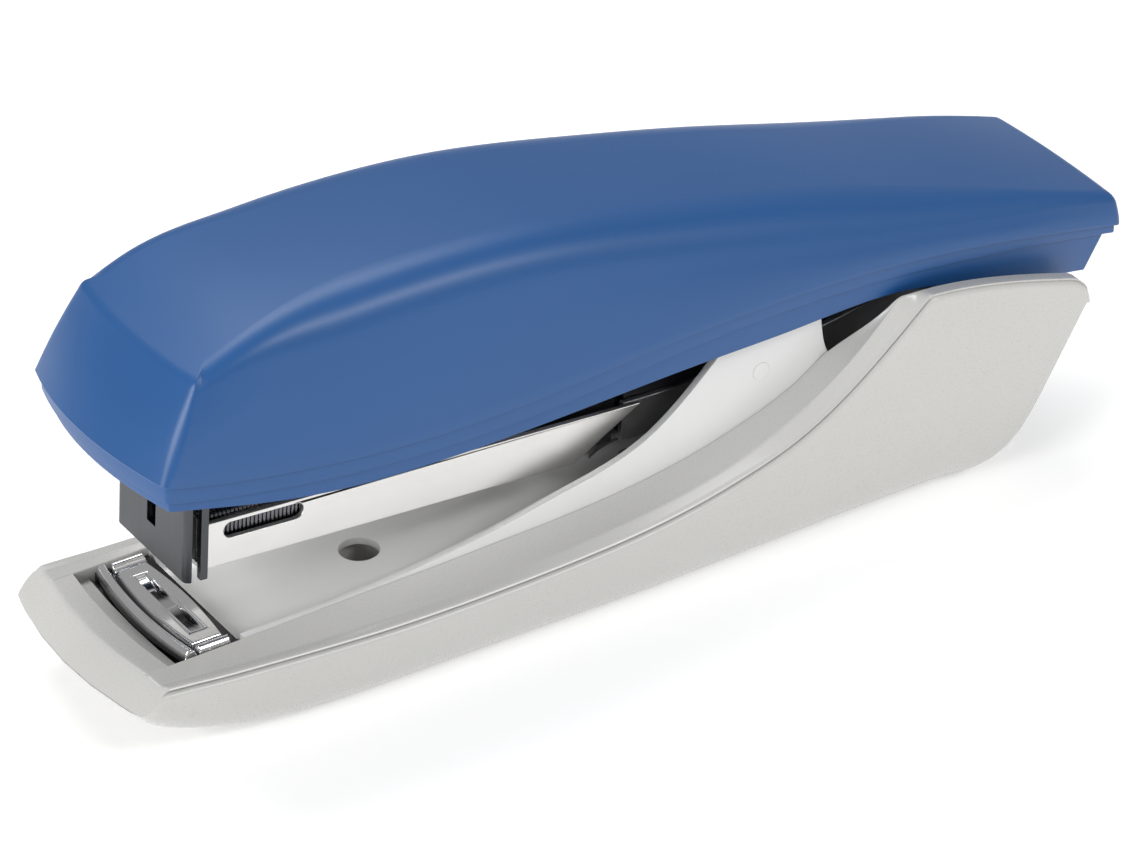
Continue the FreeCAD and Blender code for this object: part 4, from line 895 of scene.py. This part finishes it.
def make_anvil():
    rows = ANVIL_ROWS
    columns = ANVIL_COLUMNS
    points = []
    for r in range(rows + 1):
        for c in range(columns + 1):
            y = mix(-ANVIL_HALF, ANVIL_HALF, c / columns)
            x = mix(anvil_front(y), ANVIL_BACK_X, r / rows)
            points.append((x, y, anvil_height(x, y)))
    faces = grid_faces(rows + 1, columns + 1)
    across = columns + 1
    edge = list(range(across))
    edge += [r * across + columns for r in range(1, rows + 1)]
    edge += [rows * across + c for c in range(columns - 1, -1, -1)]
    edge += [r * across for r in range(rows - 1, 0, -1)]
    first = len(points)
    points += [(points[i][0], points[i][1], ANVIL_FOOT_Z) for i in edge]
    count = len(edge)
    for i in range(count):
        j = (i + 1) % count
        faces.append((edge[i], edge[j], first + j, first + i))
    faces.append(tuple(range(first, first + count)))
    anvil = piece_from("anvil_plate", points, faces, CHROME, 85)
    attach(anvil, "base")
    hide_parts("anvil")


make_anvil()

# ---------------------------------------------------------------- staples
STAPLE_HALF = 6.45
STAPLE_LEG = 6.2
WIRE = 0.5
STAPLE_PITCH = 0.56
STAPLE_FOOT_Z = 1.87
STAPLE_COUNT = 48
STRIP_FRONT_X = 0.5


def staple(x):
    """One staple of the strip: flattened wire bent down at both ends."""
    radius = 0.5
    outer = STAPLE_HALF - WIRE / 2
    top = STAPLE_FOOT_Z + STAPLE_LEG - WIRE / 2
    half = [(outer, STAPLE_FOOT_Z), (outer, top - radius)]
    half += [(outer - radius * (1 - math.cos(a)), top - radius * (1 - math.sin(a)))
             for a in (math.pi / 6, math.pi / 3, math.pi / 2)]
    path = [lifted(x, y, z) for y, z in half] + [lifted(x, -y, z) for y, z in half[::-1]]
    corners = 8
    points = []
    for i, here in enumerate(path):
        here = Vector(here)
        ahead = (Vector(path[min(i + 1, len(path) - 1)]) - Vector(path[max(i - 1, 0)])).normalized()
        along = Vector((math.cos(LIFT), 0, -math.sin(LIFT)))
        out = ahead.cross(along).normalized()
        for k in range(corners):
            angle = 2 * math.pi * (k + 0.5) / corners
            wide = math.copysign(abs(math.cos(angle)) ** 0.5, math.cos(angle)) * WIRE * 0.5
            thick = math.copysign(abs(math.sin(angle)) ** 0.5, math.sin(angle)) * WIRE * 0.5
            points.append(tuple(here + along * wide + out * thick))
    faces = grid_faces(len(path), corners, 0, True)
    faces.append(tuple(range(corners)))
    faces.append(tuple(range((len(path) - 1) * corners, len(path) * corners)))
    return points, faces


def make_staples():
    places = [STRIP_FRONT_X + 0.3 + i * STAPLE_PITCH for i in range(STAPLE_COUNT)]
    points, faces = joined([staple(x) for x in places])
    strip = piece_from("staple_row", points, faces, STAPLE_WIRE, 50)
    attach(strip, "magazine")
    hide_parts("staple_strip")


make_staples()

# ---------------------------------------------------------------- springs
ROD_Z = 5.3
PUSHER_BACK_X = 32.85
ROD_STOP_X = 95.95


def make_pusher_spring():
    """Compression spring round the rod, from the pusher back to the block that holds the rod."""
    turns = 34
    radius = 1.6
    steps = 18
    path = []
    for i in range(turns * steps + 1):
        share = i / (turns * steps)
        tight = min(1.0, min(share, 1 - share) * turns / 1.5)
        angle = 2 * math.pi * i / steps
        x = mix(PUSHER_BACK_X + 0.3, ROD_STOP_X - 0.3, share)
        x += (1 - tight) * (0.5 if share < 0.5 else -0.5) * 0.3
        path.append(lifted(x, radius * math.cos(angle), ROD_Z + radius * math.sin(angle)))
    points, faces = tube(path, 0.24, 7)
    spring = piece_from("pusher_coil", points, faces, SPRING_STEEL, 60)
    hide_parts("pusher_spring")
    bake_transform(spring)


def make_cover_spring():
    """Torsion spring on the hinge pin that swings the cover up."""
    low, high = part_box("cover_spring")
    half = (high.y - low.y) / MM / 2 - 0.4
    turns = 6
    steps = 24
    radius = 2.45
    path = []
    for i in range(turns * steps + 1):
        angle = 2 * math.pi * i / steps + math.pi / 2
        y = mix(-half, half, i / (turns * steps))
        path.append((HINGE_X + radius * math.cos(angle), y, HINGE_Z + radius * math.sin(angle)))
    points, faces = tube(path, 0.4, 9)
    spring = piece_from("cover_coil", points, faces, SPRING_STEEL, 60)
    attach(spring, "magazine")
    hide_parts("cover_spring")


def make_return_leaf():
    """Leaf spring under the magazine, riveted to the deck and lifting the channel."""
    low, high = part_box("return_leaf")
    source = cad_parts["return_leaf"].data.copy()
    work = bmesh.new()
    work.from_mesh(source)
    bmesh.ops.remove_doubles(work, verts=work.verts, dist=1e-6)
    for x in np.linspace(low.x, high.x, 30)[1:-1]:
        everything = work.verts[:] + work.edges[:] + work.faces[:]
        bmesh.ops.bisect_plane(work, geom=everything, plane_co=(x, 0, 0), plane_no=(1, 0, 0))
    work.to_mesh(source)
    work.free()
    source.materials.clear()
    source.materials.append(SPRING_STEEL)
    leaf = bpy.data.objects.new("return_leaf_blade", source)
    bpy.context.scene.collection.objects.link(leaf)
    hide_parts("return_leaf")
    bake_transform(leaf)


make_pusher_spring()
make_cover_spring()
make_return_leaf()

# ---------------------------------------------------------------- finishes of the CAD pieces
FINISHES = {
    "base_plate": BLACK_PLASTIC,
    "base_screws": BRIGHT_STEEL,
    "foot_pads": PAD_RUBBER,
    "deck_frame": DECK_PAINT,
    "pivot_pin": BRIGHT_STEEL,
    "pin_clip": SPRING_STEEL,
    "lift_stop_pin": DECK_PAINT,
    "leaf_rivet": BRIGHT_STEEL,
    "magazine_channel": CHANNEL_STEEL,
    "magazine_arm": FRAME_STEEL,
    "arm_rivets": BRIGHT_STEEL,
    "staple_rail": DARK_STEEL,
    "pusher_rod": BRIGHT_STEEL,
    "rear_stop": DARK_STEEL,
    "magazine_cap": BLACK_PLASTIC,
    "front_guard": GUARD_STEEL,
    "pusher": BLACK_PLASTIC,
    "cover_frame": FRAME_STEEL,
    "cover_screws": DARK_STEEL,
    "driver_rivet": BRIGHT_STEEL,
    "driver_blade": SPRING_STEEL,
    "driver_leaf": SPRING_STEEL,
}
ROUNDED = {"magazine_channel": 0.12, "magazine_arm": 0.12, "front_guard": 0.14, "deck_frame": 0.15,
           "magazine_cap": 0.25, "pusher": 0.3, "cover_frame": 0.15, "foot_pads": 0.15}


def finish_cad_pieces():
    for name, material in FINISHES.items():
        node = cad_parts[name]
        node.data.materials.clear()
        node.data.materials.append(material)
        if name not in ROUNDED:
            continue
        weld = node.modifiers.new("Weld", "WELD")
        weld.merge_threshold = 0.002 * MM
        edge = node.modifiers.new("Edge", "BEVEL")
        edge.width = ROUNDED[name] * MM
        edge.segments = 2
        edge.limit_method = "ANGLE"
        edge.angle_limit = math.radians(40)
        edge.harden_normals = True


finish_cad_pieces()


# ---------------------------------------------------------------- floor, light and camera
def make_floor():
    material, nodes, links, shader, where = new_material("pale_floor")
    cloud = noise(nodes, links, where, 3, 2.0)
    pale = ramp(nodes, links, cloud, (0.84, 0.84, 0.84), (0.86, 0.86, 0.86))
    links.new(pale, shader.inputs["Base Color"])
    shader.inputs["Roughness"].default_value = 0.9
    shader.inputs["Specular IOR Level"].default_value = 0.1
    shader.inputs["Emission Color"].default_value = (1, 1, 1, 1)
    shader.inputs["Emission Strength"].default_value = 0.3
    mesh = bpy.data.meshes.new("floor")
    side = 4.0
    corners = [(-side, -side, 0), (side, -side, 0), (side, side, 0), (-side, side, 0)]
    mesh.from_pydata(corners, [], [(0, 1, 2, 3)])
    mesh.materials.append(material)
    floor = bpy.data.objects.new("floor", mesh)
    bpy.context.scene.collection.objects.link(floor)


def area_light(name, place, aim, size, power):
    data = bpy.data.lights.new(name, "AREA")
    data.shape = "RECTANGLE"
    data.size, data.size_y = size
    data.energy = power
    light = bpy.data.objects.new(name, data)
    light.location = place
    light.rotation_euler = (Vector(aim) - Vector(place)).to_track_quat("-Z", "Y").to_euler()
    bpy.context.scene.collection.objects.link(light)


def make_light():
    world = bpy.data.worlds.new("studio")
    world.use_nodes = True
    world.node_tree.nodes["Background"].inputs["Color"].default_value = (1, 1, 1, 1)
    world.node_tree.nodes["Background"].inputs["Strength"].default_value = 0.34
    bpy.context.scene.world = world
    middle = (0, 0, 0.02)
    area_light("key", (0.45, -0.85, 0.8), middle, (0.45, 0.3), 5.0)
    area_light("fill", (-1.05, -0.25, 0.5), middle, (0.5, 0.4), 7.5)
    area_light("top", (0.1, 0.5, 1.0), middle, (0.9, 0.4), 6.5)


CAMERA_LENS = 170.5
CAMERA_PLACE = (-253.767, -476.975, 366.209)
CAMERA_TILT = 57.6
CAMERA_TURN = -33.1


def make_camera():
    data = bpy.data.cameras.new("camera")
    data.lens = CAMERA_LENS
    data.sensor_width = 36
    data.clip_start = 0.05
    camera = bpy.data.objects.new("camera", data)
    camera.location = at(*CAMERA_PLACE)
    camera.rotation_euler = (math.radians(CAMERA_TILT), 0, math.radians(CAMERA_TURN))
    bpy.context.scene.collection.objects.link(camera)
    bpy.context.scene.camera = camera


make_floor()
make_light()
make_camera()
bpy.context.scene.view_settings.view_transform = "Standard"
